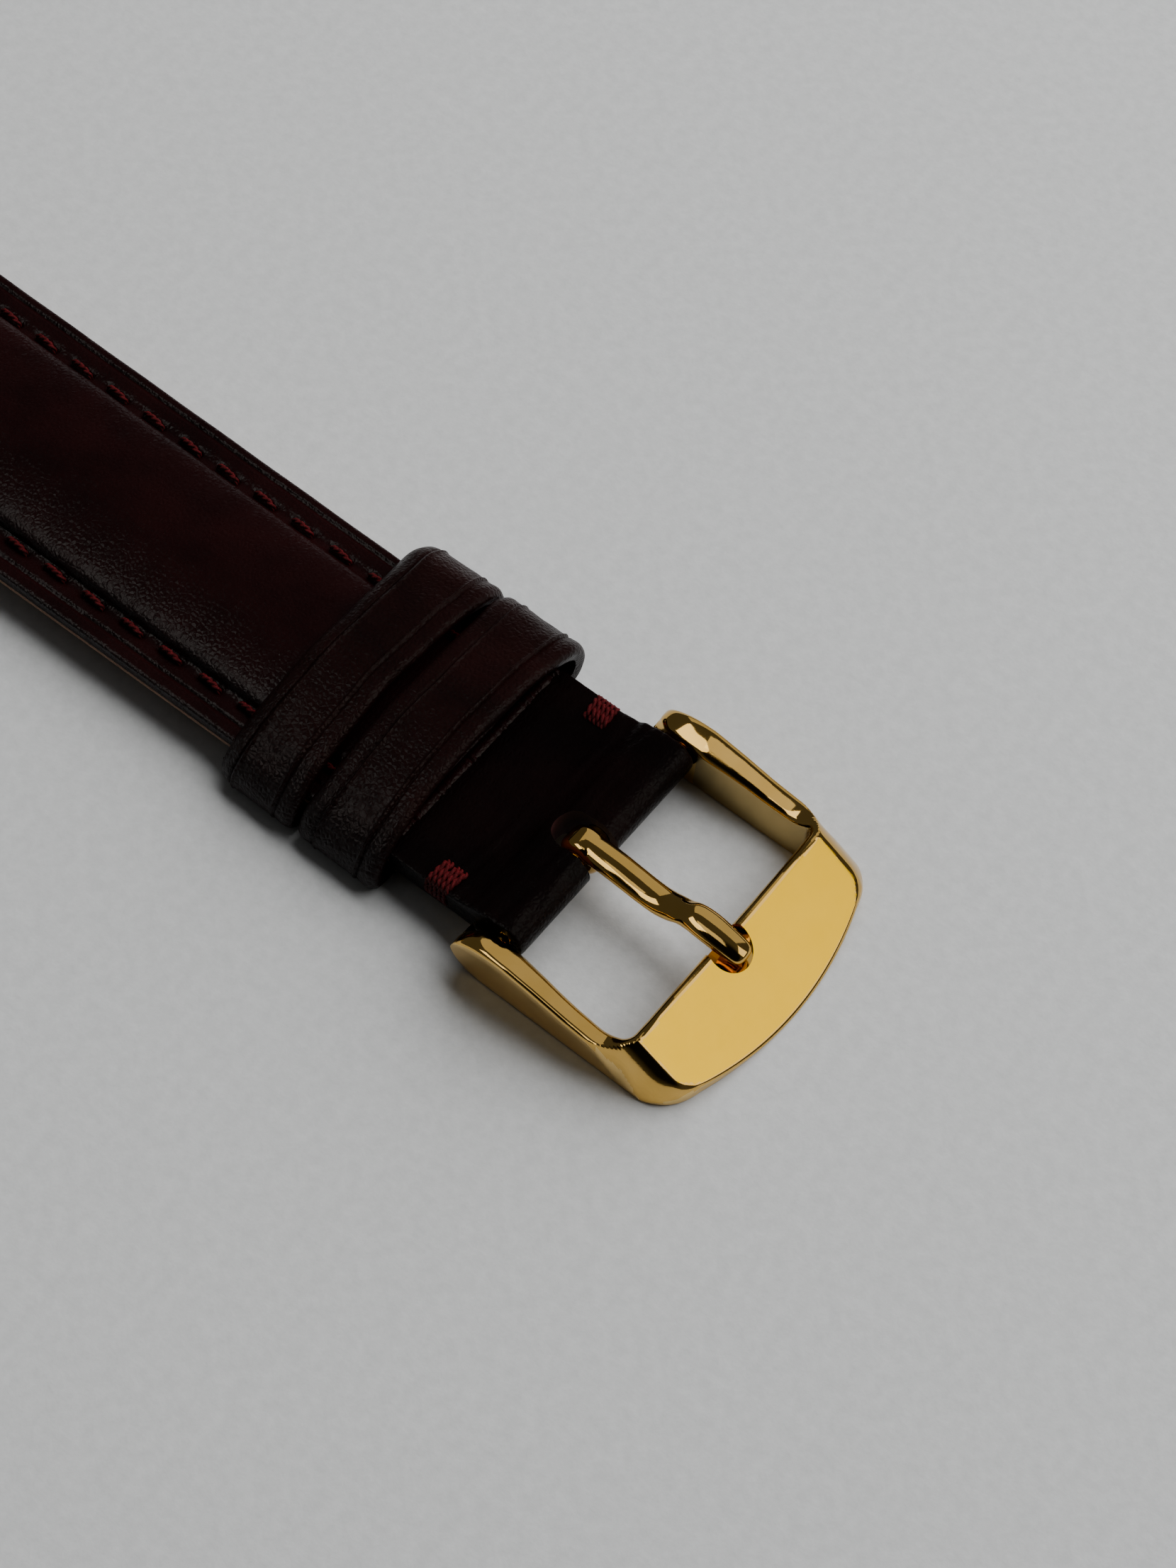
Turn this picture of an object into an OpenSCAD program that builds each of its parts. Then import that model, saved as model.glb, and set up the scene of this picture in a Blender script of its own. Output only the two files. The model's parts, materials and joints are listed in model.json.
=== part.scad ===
// Wristwatch: round quartz head, padded two-piece leather strap, pin buckle.
// Origin: centre of the case back's lowest face. +X to 3 o'clock, +Y to
// 12 o'clock (the buckle piece of the strap), +Z out of the dial.

/* [Case] */
// Diameter of the case without crown and lugs
case_d = 36; // [35:0.5:37]
// Gap between the lugs, the strap's nominal width there
lug_gap = 18; // [18:0.5:18.5]
// Distance from the case centre to each lug's spring bar
bar_y = 20.6; // [20.5:0.1:21.5]
// Height of the lug bars above the case back
bar_z = 2.9; // [2.9:0.05:3.0]

/* [Strap] */
// Length of the buckle piece, lug bar to buckle pin
short_len = 78; // [74:1:82]
// Length of the holed piece, lug bar to tip
long_len = 115; // [112:1:120]
// Width of the strap at the buckle
tail_w = 16; // [15.6:0.1:16.2]
// Height of the strap's underside above the table
strap_z = 1.06; // [1.04:0.02:1.1]
// Thickness of the lining leather
lining_t = 0.7; // [0.6:0.05:0.75]
// Thickness of the top leather
upper_t = 0.84; // [0.7:0.02:0.9]
// Height of the padding's crown above the stitched margin
crown_h = 1.3; // [1.0:0.1:1.4]
// Number of buckle holes
hole_count = 7; // [5:1:8]
// Distance between buckle holes
hole_pitch = 6.5; // [6:0.1:6.5]
// Length of one stitch and its gap
stitch_pitch = 3.2; // [3:0.1:3.6]

/* [Buckle] */
// Height of the buckle's arms at the pin
arm_h = 4.4; // [4.3:0.1:4.6]
// Width of each arm
arm_w = 2.05; // [1.9:0.05:2.1]
// Pin axis to the inside of the front bar
window_len = 9.9; // [9.8:0.1:10]
// Pin axis to the front of the buckle
front_len = 15.6; // [15.4:0.1:15.8]
// Sideways place of the tongue
tongue_x = 0.5; // [0.3:0.1:0.6]
// Width of the tongue
tongue_w = 1.95; // [1.7:0.05:2]

/* [Movement] */
// Radius of the movement
move_r = 11.8; // [11.8:0.1:11.9]
// Time shown at rest: hour
rest_hour = 10; // [1:1:12]
// Time shown at rest: minute
rest_minute = 10; // [0:1:59]
// Time shown at rest: second
rest_second = 35; // [0:1:59]

/* [Hidden] */
gold = [0.86, 0.66, 0.25];
steel = [0.75, 0.76, 0.78];
brass = [0.80, 0.65, 0.35];
leather = [0.16, 0.05, 0.05];
lining_tan = [0.45, 0.27, 0.17];
thread = [0.42, 0.08, 0.09];
black = [0.08, 0.08, 0.08];
cream = [0.93, 0.91, 0.85];

case_r = case_d / 2;
bore_r = 14.25;             // inside of the case middle
case_z0 = 0.85;             // underside of the case middle
case_z1 = 5.2;              // top of the case middle
back_r = 15.5;
crystal_r = 14.7;
crystal_z = 6.25;           // underside of the crystal
crystal_top = 8;
stem_z = 3.3;               // height of the winding stem
crown_x = case_r + 0.35;    // inner face of the crown

lug_half = lug_gap / 2;
lug_hw = lug_half - 0.1;    // strap half width at the lugs
tail_hw = tail_w / 2;
taper_len = 75;
short_bend = 30;            // lug bar to the bend of the buckle piece
long_bend = 48;             // lug bar to the bend of the holed piece
seam_gap = 0.05;            // space between the two halves at a bend
barrel_r = 1.84;            // leather turned round a lug bar
bar_bore = 0.95;
bar_r = 0.9;
margin_z = strap_z + lining_t + upper_t;
top_z = margin_z + crown_h;
pad_inset = 2.6;            // edge of the strap to the edge of the padding
pad_R = 18.6;               // radius of the padding's crown across the strap
pad_slope = 0.75;           // the padding thickens towards the lugs, degrees
stitch_inset = 2.2;
upper_end = short_len - 8.4;
first_hole = 62;
short_split = short_bend - seam_gap;
pad_start = 3.6;             // lug bar to the lug end of the padding
pad_end = upper_end - 1.2;
long_bottom = strap_z - bar_z;  // underside of the holed piece, from its lug bar
long_tilt = asin((bar_z + long_bottom) / long_len);  // its tip rests on the table

pin_y = bar_y + short_len;
pin_z = 2.5;
fold_r = 1.55;              // leather turned round the buckle bar
pin_bore = 0.8;
pin_r = 0.75;
arm_in = tail_hw + 0.2;
arm_out = arm_in + arm_w;

dial_z = 4.3;
dial_t = 0.35;
plate_z = 3.0;
plate_t = 0.6;
bridge_z = 1.3;
bridge_t = 0.25;

// Gear train: teeth, modules and the places of the wheels
third_at = 34 * 0.14 * [cos(170), sin(170)];
inter_at = 24 * 0.2 * [cos(40), sin(40)];
rotor_at = inter_at + 28 * 0.15 * [cos(75), sin(75)];
minute_at = 24 * 0.13 * [cos(120), sin(120)];
battery_at = [0, -7.9];
screw_at = [[-7.5, 6], [8.6, -2.2], [-8.9, -2.8]];

rest_m = rest_minute + rest_second / 60;
rest_h = rest_hour + rest_m / 60;

function arc(c, r, a0, a1, n) =
    [for (i = [0:n]) let (a = a0 + (a1 - a0) * i / n) c + r * [cos(a), sin(a)]];
function curve(a, b, c, n) =
    [for (i = [0:n]) let (t = i / n) (1 - t) * (1 - t) * a + 2 * t * (1 - t) * b + t * t * c];
function mirrored(pts) = concat(pts, [for (i = [len(pts) - 1:-1:0]) [-pts[i].x, pts[i].y]]);
function short_hw(s) = lug_hw + (tail_hw - lug_hw) * min(s / taper_len, 1);
function long_hw(s) = lug_hw + (tail_hw - lug_hw) * min(s / long_bend, 1);

module ring(r_out, r_in, z0, z1) {
    translate([0, 0, z0]) difference() {
        cylinder(r = r_out, h = z1 - z0, $fn = 96);
        translate([0, 0, -1]) cylinder(r = r_in, h = z1 - z0 + 2, $fn = 96);
    }
}

module disc(at, r, z0, z1) {
    translate([at.x, at.y, z0]) cylinder(r = r, h = z1 - z0, $fn = 64);
}

module rod_x(x0, x1, r) {
    translate([x0, 0, 0]) rotate([0, 90, 0]) cylinder(r = r, h = x1 - x0, $fn = 48);
}

// Outline in the Y-Z plane, given thickness along X
module side_slab(pts, x0, x1) {
    translate([x0, 0, 0]) rotate([90, 0, 90]) linear_extrude(x1 - x0) polygon(pts);
}

// Outline in the X-Z plane, given length along Y
module front_slab(pts, y0, y1) {
    translate([0, y1, 0]) rotate([90, 0, 0]) linear_extrude(y1 - y0) polygon(pts);
}

// Straight-flanked gear; one tooth's centre points along the phase angle
module gear(teeth, m, z0, z1, phase, bore = 0) {
    root = m * (teeth / 2 - 1.1);
    tip = m * (teeth / 2 + 0.8);
    step = 360 / teeth;
    translate([0, 0, z0]) linear_extrude(z1 - z0) difference() {
        polygon([for (i = [0:teeth - 1], k = [-0.27, -0.12, 0.12, 0.27])
            let (a = phase + (i + k) * step, r = abs(k) < 0.2 ? tip : root)
            r * [cos(a), sin(a)]]);
        if (bore > 0) circle(r = bore, $fn = 32);
    }
}

// Wheel with five round openings
module spoked_gear(teeth, m, z0, z1, phase, bore = 0) {
    r = m * teeth / 2;
    difference() {
        gear(teeth, m, z0, z1, phase, bore);
        for (i = [0:4]) rotate(i * 72 + 36) disc([r * 0.56, 0], r * 0.22, z0 - 1, z1 + 1);
    }
}

// ---------- Case ----------

module lug_outline() {
    side_slab(concat(
        [[12, 1.1]], [[12, 4.9]],
        curve([14, 5.1], [22.6, 4.9], [23.6, 1.7], 10),
        curve([23.6, 1.5], [23.5, 0.7], [22.4, 0.75], 4)), lug_half, lug_half + 4);
}

module lug_plan() {
    linear_extrude(8) polygon(concat(
        [[lug_half, 10], [lug_half + 4, 10], [lug_half + 3.4, 17]],
        curve([lug_half + 2.3, 22.6], [lug_half + 2.1, 23.6], [lug_half + 1.2, 23.7], 5),
        [[lug_half, 23.7]]));
}

module lug() {
    intersection() {
        lug_outline();
        lug_plan();
    }
}

module case_body() {
    rotate_extrude($fn = 96) polygon(concat(
        [[bore_r, case_z0], [16.2, case_z0]],
        curve([16.6, case_z0 + 0.1], [case_r, 1.7], [case_r, 3.1], 8),
        curve([case_r, 3.3], [case_r, 4.9], [17.3, case_z1], 6),
        [[bore_r, case_z1]]));
}

module case_middle() {
    color(gold) difference() {
        union() {
            case_body();
            for (sx = [0, 1], sy = [0, 1]) mirror([sx, 0, 0]) mirror([0, sy, 0]) lug();
        }
        translate([0, 0, -1]) cylinder(r = bore_r, h = 10, $fn = 96);
        translate([0, 0, stem_z]) rod_x(13, case_r + 1, 1.1);
        for (y = [-bar_y, bar_y]) translate([0, y, bar_z]) rod_x(-lug_half - 1.3, lug_half + 1.3, 0.5);
    }
}

module bezel() {
    color(gold) rotate_extrude($fn = 96) polygon(concat(
        [[13.9, 4.7], [14.15, 4.7], [14.15, case_z1], [17.3, case_z1]],
        curve([17.4, 5.4], [17.3, 6.6], [15.9, 7.1], 8),
        [[15.3, 7.15], [15.2, 7.05], [15.2, 6.2], [14.35, 6.2]]));
}

module crystal() {
    dome_r = 135.5;
    color([0.8, 0.9, 0.95, 0.3]) rotate_extrude($fn = 96) intersection() {
        translate([0, crystal_z]) square([crystal_r, 3]);
        translate([0, crystal_top - dome_r]) circle(r = dome_r, $fn = 720);
    }
}

module crystal_gasket() {
    color("white") ring(15.18, crystal_r + 0.02, crystal_z, 7.0);
}

module case_back() {
    color(steel) difference() {
        union() {
            rotate_extrude($fn = 96) polygon(concat(
                [[0, 0], [13.6, 0]],
                curve([14.6, 0.05], [15.4, 0.15], [back_r, 0.6], 5),
                [[back_r, 0.82], [14.1, 0.82], [14.1, 1.5], [13.5, 1.5], [13.5, 0.8], [0, 0.8]]));
        }
        // opening notch for a case knife
        translate([-2, -back_r - 1, 0.45]) cube([4, 1.7, 1]);
    }
}

module back_gasket() {
    color(black) translate([0, 0, 1.75]) rotate_extrude($fn = 96) translate([13.8, 0]) circle(r = 0.22, $fn = 16);
}

module crown_tube() {
    color(steel) translate([0, 0, stem_z]) difference() {
        rod_x(bore_r + 0.1, case_r + 0.9, 1.09);
        rod_x(13, case_r + 2, 0.62);
    }
}

module crown() {
    color(gold) translate([crown_x, 0, stem_z]) rotate([0, 90, 0]) difference() {
        union() {
            gear(28, 0.175, 0.25, 2.1, 0);
            cylinder(r = 2.3, h = 0.4, $fn = 64);
            translate([0, 0, 2.1]) cylinder(r = 2.15, h = 0.35, $fn = 64);
            translate([0, 0, 2.44]) cylinder(r = 1.7, h = 0.16, $fn = 64);
        }
        translate([0, 0, -1]) cylinder(r = 1.3, h = 2.1, $fn = 48);
        translate([0, 0, 1]) cylinder(r = 0.55, h = 0.9, $fn = 48);
    }
}

module stem() {
    groove_x = 8.6;
    color(steel) translate([0, 0, stem_z]) {
        rod_x(5.2, groove_x, 0.3);
        rod_x(groove_x, groove_x + 0.6, 0.25);
        rod_x(groove_x + 0.6, crown_x + 1.85, 0.54);
    }
}

module sliding_pinion() {
    color(steel) translate([5.6, 0, stem_z]) rotate([0, 90, 0]) {
        gear(12, 0.12, 0, 0.6, 0, 0.34);
        difference() {
            translate([0, 0, 0.6]) cylinder(r = 0.6, h = 0.9, $fn = 32);
            translate([0, 0, -1]) cylinder(r = 0.34, h = 4, $fn = 32);
        }
    }
}

// Lever whose finger sits in the stem's groove; it turns on a post at [8.9, 2.6]
module setting_lever() {
    color(steel) {
        difference() {
            union() {
                disc([8.9, 2.6], 0.7, 3.75, 4.0);
                translate([8.65, 0, 3.75]) cube([0.5, 2.6, 0.25]);
                translate([8.78, 0.32, 3.3]) cube([0.24, 0.3, 0.5]);
            }
            disc([8.9, 2.6], 0.35, 3, 5);
        }
    }
}

// ---------- Dial and hands ----------

module dial() {
    color(cream) ring(13.85, 1.3, dial_z, dial_z + dial_t);
}

module hour_markers() {
    z = dial_z + dial_t;
    color(gold) for (i = [0:11]) rotate(-30 * i) {
        if (i == 0) for (x = [-0.75, 0.1]) translate([x, 9.6, z]) cube([0.65, 2.9, 0.25]);
        else translate([-0.3, i % 3 == 0 ? 9.9 : 10.3, z]) cube([0.6, i % 3 == 0 ? 2.6 : 2.2, 0.22]);
    }
}

// Lance hand: pointed outline with a hub, z is its underside
module lance(reach, tail, width, hub, bore, z, t, angle) {
    translate([0, 0, z]) rotate(-angle) linear_extrude(t) difference() {
        union() {
            polygon([[0, -tail], [width / 2, reach * 0.22], [0, reach], [-width / 2, reach * 0.22]]);
            circle(r = hub, $fn = 48);
        }
        circle(r = bore, $fn = 48);
    }
}

module hour_hand() {
    color(gold) lance(8.2, 0, 1.5, 1.4, 1.05, 4.95, 0.15, rest_h * 30);
}

module minute_hand() {
    color(gold) lance(12, 0, 1.3, 1.05, 0.68, 5.35, 0.15, rest_m * 6);
}

module second_hand() {
    color(gold) {
        translate([0, 0, 5.72]) rotate(-rest_second * 6) linear_extrude(0.1) union() {
            polygon([[-0.14, -3.6], [0.14, -3.6], [0.06, 12.3], [-0.06, 12.3]]);
            circle(r = 0.7, $fn = 48);
        }
        disc([0, 0], 0.38, 5.82, 5.95);
    }
}

// ---------- Movement ----------

module movement_ring() {
    color(black) difference() {
        ring(14.1, move_r + 0.08, 1.65, dial_z - 0.02);
        ring(14.2, 13.3, 1, 2.05);
        translate([0, 0, stem_z]) rod_x(10, 16, 0.85);
    }
}

module main_plate() {
    color(brass) difference() {
        union() {
            ring(move_r, 10.6, 1.6, 4.25);
            disc([0, 0], 10.7, plate_z, plate_z + plate_t);
            for (p = screw_at) disc(p, 0.7, bridge_z + bridge_t, plate_z + 0.1);
            disc([8.9, 2.6], 0.33, plate_z + 0.1, 4.15);
        }
        disc([0, 0], 0.72, 2, 5);
        disc(third_at, 0.22, 2, 5);
        disc(inter_at, 0.22, 2, 5);
        disc(rotor_at, 0.22, 2, 5);
        disc(minute_at, 0.22, 2, 5);
        for (p = screw_at) disc(p, 0.35, 1, 2.6);
        disc(battery_at, 3.5, 1, plate_z - 0.02);
        // channel of the stem, its pinion and the lever's finger
        translate([5.15, -1, 2.3]) cube([5.3, 2, 3]);
        translate([0, 0, stem_z]) rod_x(5, 13, 0.6);
    }
}

module train_bridge() {
    color(brass) difference() {
        disc([0, 0], 10.45, bridge_z, bridge_z + bridge_t);
        disc(battery_at, 3.9, 0, 3);
        translate([-12, -12, 0]) cube([24, 7.4, 3]);
        translate([-12, -12, 0]) cube([8.3, 8.45, 3]);
        translate([-5.4, 7.3, 0]) cube([8.1, 5, 3]);
        for (p = [[0, 0], third_at, inter_at, rotor_at]) disc(p, 0.22, 0, 3);
        for (p = screw_at) disc(p, 0.4, 0, 3);
    }
}

module movement_screws() {
    color(steel) for (p = screw_at) difference() {
        union() {
            disc(p, 0.33, bridge_z - 0.05, 2.5);
            disc(p, 0.62, bridge_z - 0.3, bridge_z - 0.02);
        }
        translate([p.x - 1, p.y - 0.08, 0]) cube([2, 0.16, bridge_z - 0.18]);
    }
}

module battery() {
    color(steel) {
        disc(battery_at, 3.4, 1.25, 2.75);
        disc(battery_at, 2.9, 2.74, 2.95);
    }
}

module battery_clamp() {
    color(steel) translate([battery_at.x, battery_at.y, 0]) {
        translate([-3.75, -0.8, 1.05]) cube([7.5, 1.6, 0.15]);
        for (x = [-3.75, 3.55]) translate([x, -0.8, 1.05]) cube([0.2, 1.6, 1.9]);
    }
}

module circuit_board() {
    color("darkgreen") {
        intersection() {
            translate([-9, -8.2, 2.25]) cube([4.7, 4.4, 0.3]);
            disc([0, 0], 10.4, 2, 3);
        }
    }
    color(black) translate([-8, -6.6, 1.9]) cube([2.2, 2.2, 0.34]);
    color(steel) translate([-5, -7.6, 1.75]) rotate([-90, 0, 0]) cylinder(r = 0.48, h = 3.4, $fn = 32);
}

module coil() {
    color([0.72, 0.38, 0.2]) translate([0, 8.4, 2.1]) rod_x(-4.2, 1.6, 0.78);
    color(black) translate([0, 8.4, 2.1]) for (x = [-4.5, 1.6]) rod_x(x, x + 0.3, 0.85);
}

module stator() {
    color(steel) difference() {
        intersection() {
            union() {
                translate([2.1, 5.6, 2.3]) cube([4.4, 3.6, 0.3]);
                translate([1.92, 7.9, 1.9]) cube([0.6, 1, 0.41]);
            }
            disc([0, 0], 10.45, 1, 3);
        }
        disc(rotor_at, 1.3, 2, 3);
    }
}

module rotor() {
    color(steel) {
        disc(rotor_at, 0.2, bridge_z + 0.02, 3.4);
        disc(rotor_at, 1.05, 2.2, 2.75);
        translate([rotor_at.x, rotor_at.y, 0]) gear(8, 0.15, 1.72, 2.05, 75 + 180);
    }
}

module intermediate_wheel() {
    color(brass) {
        disc(inter_at, 0.2, bridge_z + 0.02, 3.4);
        translate([inter_at.x, inter_at.y, 0]) {
            spoked_gear(48, 0.15, 1.8, 1.96, 75 + 180 / 48);
            gear(8, 0.2, 1.95, 2.45, 40 + 180 + 180 / 8);
        }
    }
}

module seconds_wheel() {
    color(brass) {
        disc([0, 0], 0.2, bridge_z + 0.02, 1.75);
        disc([0, 0], 0.3, 1.75, 5.72);
        spoked_gear(40, 0.2, 2.2, 2.36, 40);
        gear(8, 0.14, 1.72, 2.05, 170);
    }
}

module third_wheel() {
    color(brass) {
        disc(third_at, 0.2, bridge_z + 0.02, 3.4);
        translate([third_at.x, third_at.y, 0]) {
            spoked_gear(60, 0.14, 1.8, 1.96, 170 + 180 + 180 / 60);
            gear(8, 34 * 0.14 / 36, 2.48, 2.85, 170 + 180);
        }
    }
}

// Minute arbor: tube round the seconds arbor, with the cannon pinion
module centre_wheel() {
    color(brass) {
        spoked_gear(64, 34 * 0.14 / 36, 2.58, 2.74, 170 + 180 / 64, 0.38);
        ring(0.65, 0.38, 2.58, 5.52);
        gear(12, 0.13, 3.66, 3.88, 120, 0.38);
    }
}

module minute_wheel() {
    color(brass) {
        disc(minute_at, 0.2, 3.05, 4.2);
        translate([minute_at.x, minute_at.y, 0]) {
            gear(36, 0.13, 3.68, 3.82, 120 + 180 + 180 / 36);
            gear(10, 24 * 0.13 / 25, 3.82, 4.18, 120 + 180);
        }
    }
}

module hour_wheel() {
    color(brass) {
        gear(40, 24 * 0.13 / 25, 3.96, 4.12, 120 + 180 / 40, 0.72);
        ring(1.02, 0.72, 3.96, 5.08);
    }
}

// ---------- Spring bars ----------

// Tube with a fixed tip at -X; the other end holds the spring and the sprung tip
module bar_tube(r, open_x, shut_x, pivot_x, pivot_r) {
    difference() {
        rod_x(-shut_x, open_x, r);
        rod_x(open_x - 4.2, open_x + 1, 0.55);
    }
    rod_x(-pivot_x, -shut_x + 0.5, pivot_r);
}

module bar_tip(r, open_x, shut_x, pivot_x, pivot_r) {
    rod_x(open_x - 1.3, shut_x - 0.1, 0.5);
    rod_x(shut_x - 0.25, shut_x, r);
    rod_x(shut_x - 0.1, pivot_x, pivot_r);
}

module bar_spring(open_x) {
    difference() {
        rod_x(open_x - 4.15, open_x - 1.35, 0.48);
        rod_x(open_x - 5, open_x, 0.3);
    }
}

module at_12() { translate([0, bar_y, bar_z]) children(); }
module at_6() { translate([0, -bar_y, bar_z]) children(); }
module at_pin() { translate([0, pin_y, pin_z]) children(); }

module lug_bar() { bar_tube(bar_r, 7.35, 8.7, 10.1, 0.44); }
module lug_tip() { bar_tip(bar_r - 0.1, 7.35, 8.8, 10.1, 0.44); }

module lug_bar_12() { color(steel) at_12() lug_bar(); }
module lug_bar_12_tip() { color(steel) at_12() lug_tip(); }
module lug_bar_12_spring() { color(steel) at_12() bar_spring(7.35); }
module lug_bar_6() { color(steel) at_6() lug_bar(); }
module lug_bar_6_tip() { color(steel) at_6() lug_tip(); }
module lug_bar_6_spring() { color(steel) at_6() bar_spring(7.35); }
module buckle_bar() { color(gold) at_pin() bar_tube(pin_r, 6.7, 7.9, 9.2, 0.4); }
module buckle_bar_tip() { color(gold) at_pin() bar_tip(pin_r - 0.1, 6.7, 8.0, 9.2, 0.4); }
module buckle_bar_spring() { color(steel) at_pin() bar_spring(6.7); }

// ---------- Buckle piece of the strap ----------

module short_frame() { translate([0, bar_y, 0]) children(); }

// Plan of the strap between two distances from the lug bar, cut in from its edges
module short_plan(s0, s1, inset, z0, z1) {
    translate([0, 0, z0]) linear_extrude(z1 - z0) polygon([
        [-short_hw(s0) + inset, s0], [short_hw(s0) - inset, s0],
        [short_hw(s1) - inset, s1], [-short_hw(s1) + inset, s1]]);
}

// Long shallow arch, the shape of the padded top
module arch(s, z) {
    translate([0, s, z - pad_R]) rotate([-pad_slope, 0, 0]) translate([0, 40, 0])
        rotate([90, 0, 0]) cylinder(r = pad_R, h = 140, $fn = 128);
}

module short_pad(s0, s1, inset, drop) {
    intersection() {
        short_plan(s0, s1, inset, strap_z + lining_t, 8);
        arch(short_len - 20, top_z - drop);
    }
}

// Top leather from s0 to s1, with padding under it from p0 to p1
module short_upper(s0, s1, p0, p1) {
    color(leather) short_frame() difference() {
        union() {
            short_plan(s0, s1, 0, strap_z + lining_t, margin_z);
            short_pad(max(s0, p0 - 0.6), min(s1, p1 + 0.6), pad_inset, 0);
        }
        short_pad(p0, p1, pad_inset + 0.3, upper_t);
    }
}

module short_padding(p0, p1) {
    color("dimgray") short_frame() short_pad(p0, p1, pad_inset + 0.32, upper_t + 0.02);
}

module short_upper_1() { short_upper(1.95, short_split, pad_start, short_split + 1); }
module short_upper_2() { short_upper(short_bend, upper_end, short_bend - 1, pad_end); }
module short_padding_1() { short_padding(pad_start + 0.02, short_split); }
module short_padding_2() { short_padding(short_bend, pad_end - 0.02); }

module short_lining_1() {
    color(lining_tan) difference() {
        union() {
            short_frame() short_plan(1, short_split, 0, strap_z, strap_z + lining_t);
            at_12() rod_x(-lug_hw + 0.15, lug_hw - 0.15, barrel_r);
        }
        at_12() rod_x(-10, 10, bar_bore);
    }
}

// Lining and the thin end turned round the buckle bar, slotted for the tongue
module short_lining_2() {
    end_z = 2.9;
    slot_r = tongue_w / 2 + 0.35;
    color(lining_tan) difference() {
        union() {
            short_frame() {
                short_plan(short_bend, short_len, 0, strap_z, strap_z + lining_t);
                short_plan(upper_end + 0.05, short_len, 0, strap_z, end_z);
            }
            at_pin() rod_x(-tail_hw + 0.05, tail_hw - 0.05, fold_r);
        }
        at_pin() rod_x(-10, 10, pin_bore);
        translate([tongue_x, pin_y - 2 + slot_r, 0]) cylinder(r = slot_r, h = 9, $fn = 48);
        translate([tongue_x - slot_r, pin_y - 2 + slot_r, 0]) cube([2 * slot_r, 5, 9]);
    }
}

// Stitches lie along the margin, both sides, from s0 to s1
module short_stitches(s0, s1) {
    color(thread) short_frame() for (side = [-1, 1], i = [0:floor((s1 - s0) / stitch_pitch)])
        let (s = s0 + i * stitch_pitch)
            translate([side * (short_hw(s) - stitch_inset) - 0.2, s, margin_z]) cube([0.4, 1.7, 0.25]);
}

module short_stitching_1() { short_stitches(4.4, short_bend - 2); }
module short_stitching_2() {
    short_stitches(short_bend + 0.6, upper_end - 4);
    // bar tacks over the edges beside the buckle
    color(thread) for (side = [-1, 1], i = [0:3])
        translate([side * (tail_hw - 0.9) - 0.9, pin_y - 5.5 + i * 0.36, 2.9]) cube([1.8, 0.28, 0.2]);
}

// ---------- Strap loops ----------

function loop_outer() = mirrored(concat(
    [[-8.9, 0]],
    curve([-9.6, 0], [-10.05, 0.3], [-10.05, 1.2], 4),
    curve([-10, 2.4], [-9.5, 3.9], [-6.2, 4.45], 5),
    curve([-5.2, 4.65], [-2.5, 5.3], [0, 5.3], 5)));
function loop_inner() = mirrored(concat(
    [[-8.4, 0.95]],
    curve([-8.7, 0.95], [-9, 1.0], [-9, 1.5], 3),
    curve([-9, 2.4], [-8.5, 3.3], [-6, 3.55], 5),
    curve([-5, 3.7], [-2.5, 4.25], [0, 4.25], 5)));

module leather_loop(y0, y1) {
    color(leather) translate([0, pin_y, 0]) difference() {
        front_slab(loop_outer(), y0, y1);
        front_slab(loop_inner(), y0 - 1, y1 + 1);
    }
}

module fixed_loop() { leather_loop(-14.5, -8.8); }
module free_loop() { leather_loop(-21.0, -15.2); }

// ---------- Buckle ----------

function buckle_front() = mirrored(concat(
    [[-arm_out, -3]],
    arc([-arm_out + 2, 11.6], 2, 180, 118, 6),
    arc([0, front_len - 23], 23, 111.5, 90, 10)));

function buckle_side() = concat(
    arc([0, arm_h / 2], arm_h / 2, 270, 90, 12),
    [[window_len + 0.2, 3.45], [window_len + 0.6, 3.5]],
    [[front_len - 0.5, 0.9], [front_len, 0.5], [front_len, 0]]);

module buckle_frame() {
    color(gold) translate([0, pin_y, 0]) difference() {
        intersection() {
            side_slab(buckle_side(), -arm_out - 1, arm_out + 1);
            linear_extrude(8) polygon(buckle_front());
        }
        // window, open at the strap's end, with rounded inner corners
        translate([-arm_in, -5, -1]) cube([2 * arm_in, window_len + 4, 9]);
        translate([-arm_in + 1, -5, -1]) cube([2 * arm_in - 2, window_len + 5, 9]);
        for (x = [-arm_in + 1, arm_in - 1]) translate([x, window_len - 1, -1]) cylinder(r = 1, h = 9, $fn = 48);
        translate([tongue_x - 0.1, window_len + 0.4, 2.3]) cylinder(r = 1.4, h = 9, $fn = 48);
        translate([0, 0, pin_z]) rod_x(-arm_in - 1.1, arm_in + 1.1, 0.45);
    }
}

function tongue_side() = concat(
    curve([0.4, 1.4], [2.2, 1.3], [4.6, 0.95], 6),
    curve([5.6, 0.9], [7.2, 2.0], [8.5, 1.95], 5),
    curve([9.5, 1.9], [11.2, 1.6], [11.6, 1.3], 4),
    [[11.55, 0.6], [10.6, 0.35], [8.8, 0.65]],
    curve([8.0, 0.7], [6.6, -0.3], [5.2, -0.3], 5),
    [[3.4, -0.1], [1.4, 0.1], [0.4, 0]]);

module buckle_tongue() {
    x0 = tongue_x - tongue_w / 2;
    color(gold) at_pin() difference() {
        union() {
            side_slab(tongue_side(), x0, x0 + tongue_w);
            rod_x(x0, x0 + tongue_w, 1.42);
        }
        rod_x(-5, 5, pin_bore);
        // the tip narrows where it lies in the notch
        for (side = [-1, 1]) translate([tongue_x + side * (tongue_w / 2 + 0.85), 12, -1])
            rotate(side * 7) translate([-0.7, -4, 0]) cube([1.4, 6, 5]);
    }
}

// ---------- Holed piece of the strap ----------
// Its own frame: s runs out from the lug bar, heights from the bar; it slopes
// down just enough for the tip to lie on the table.

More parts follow.
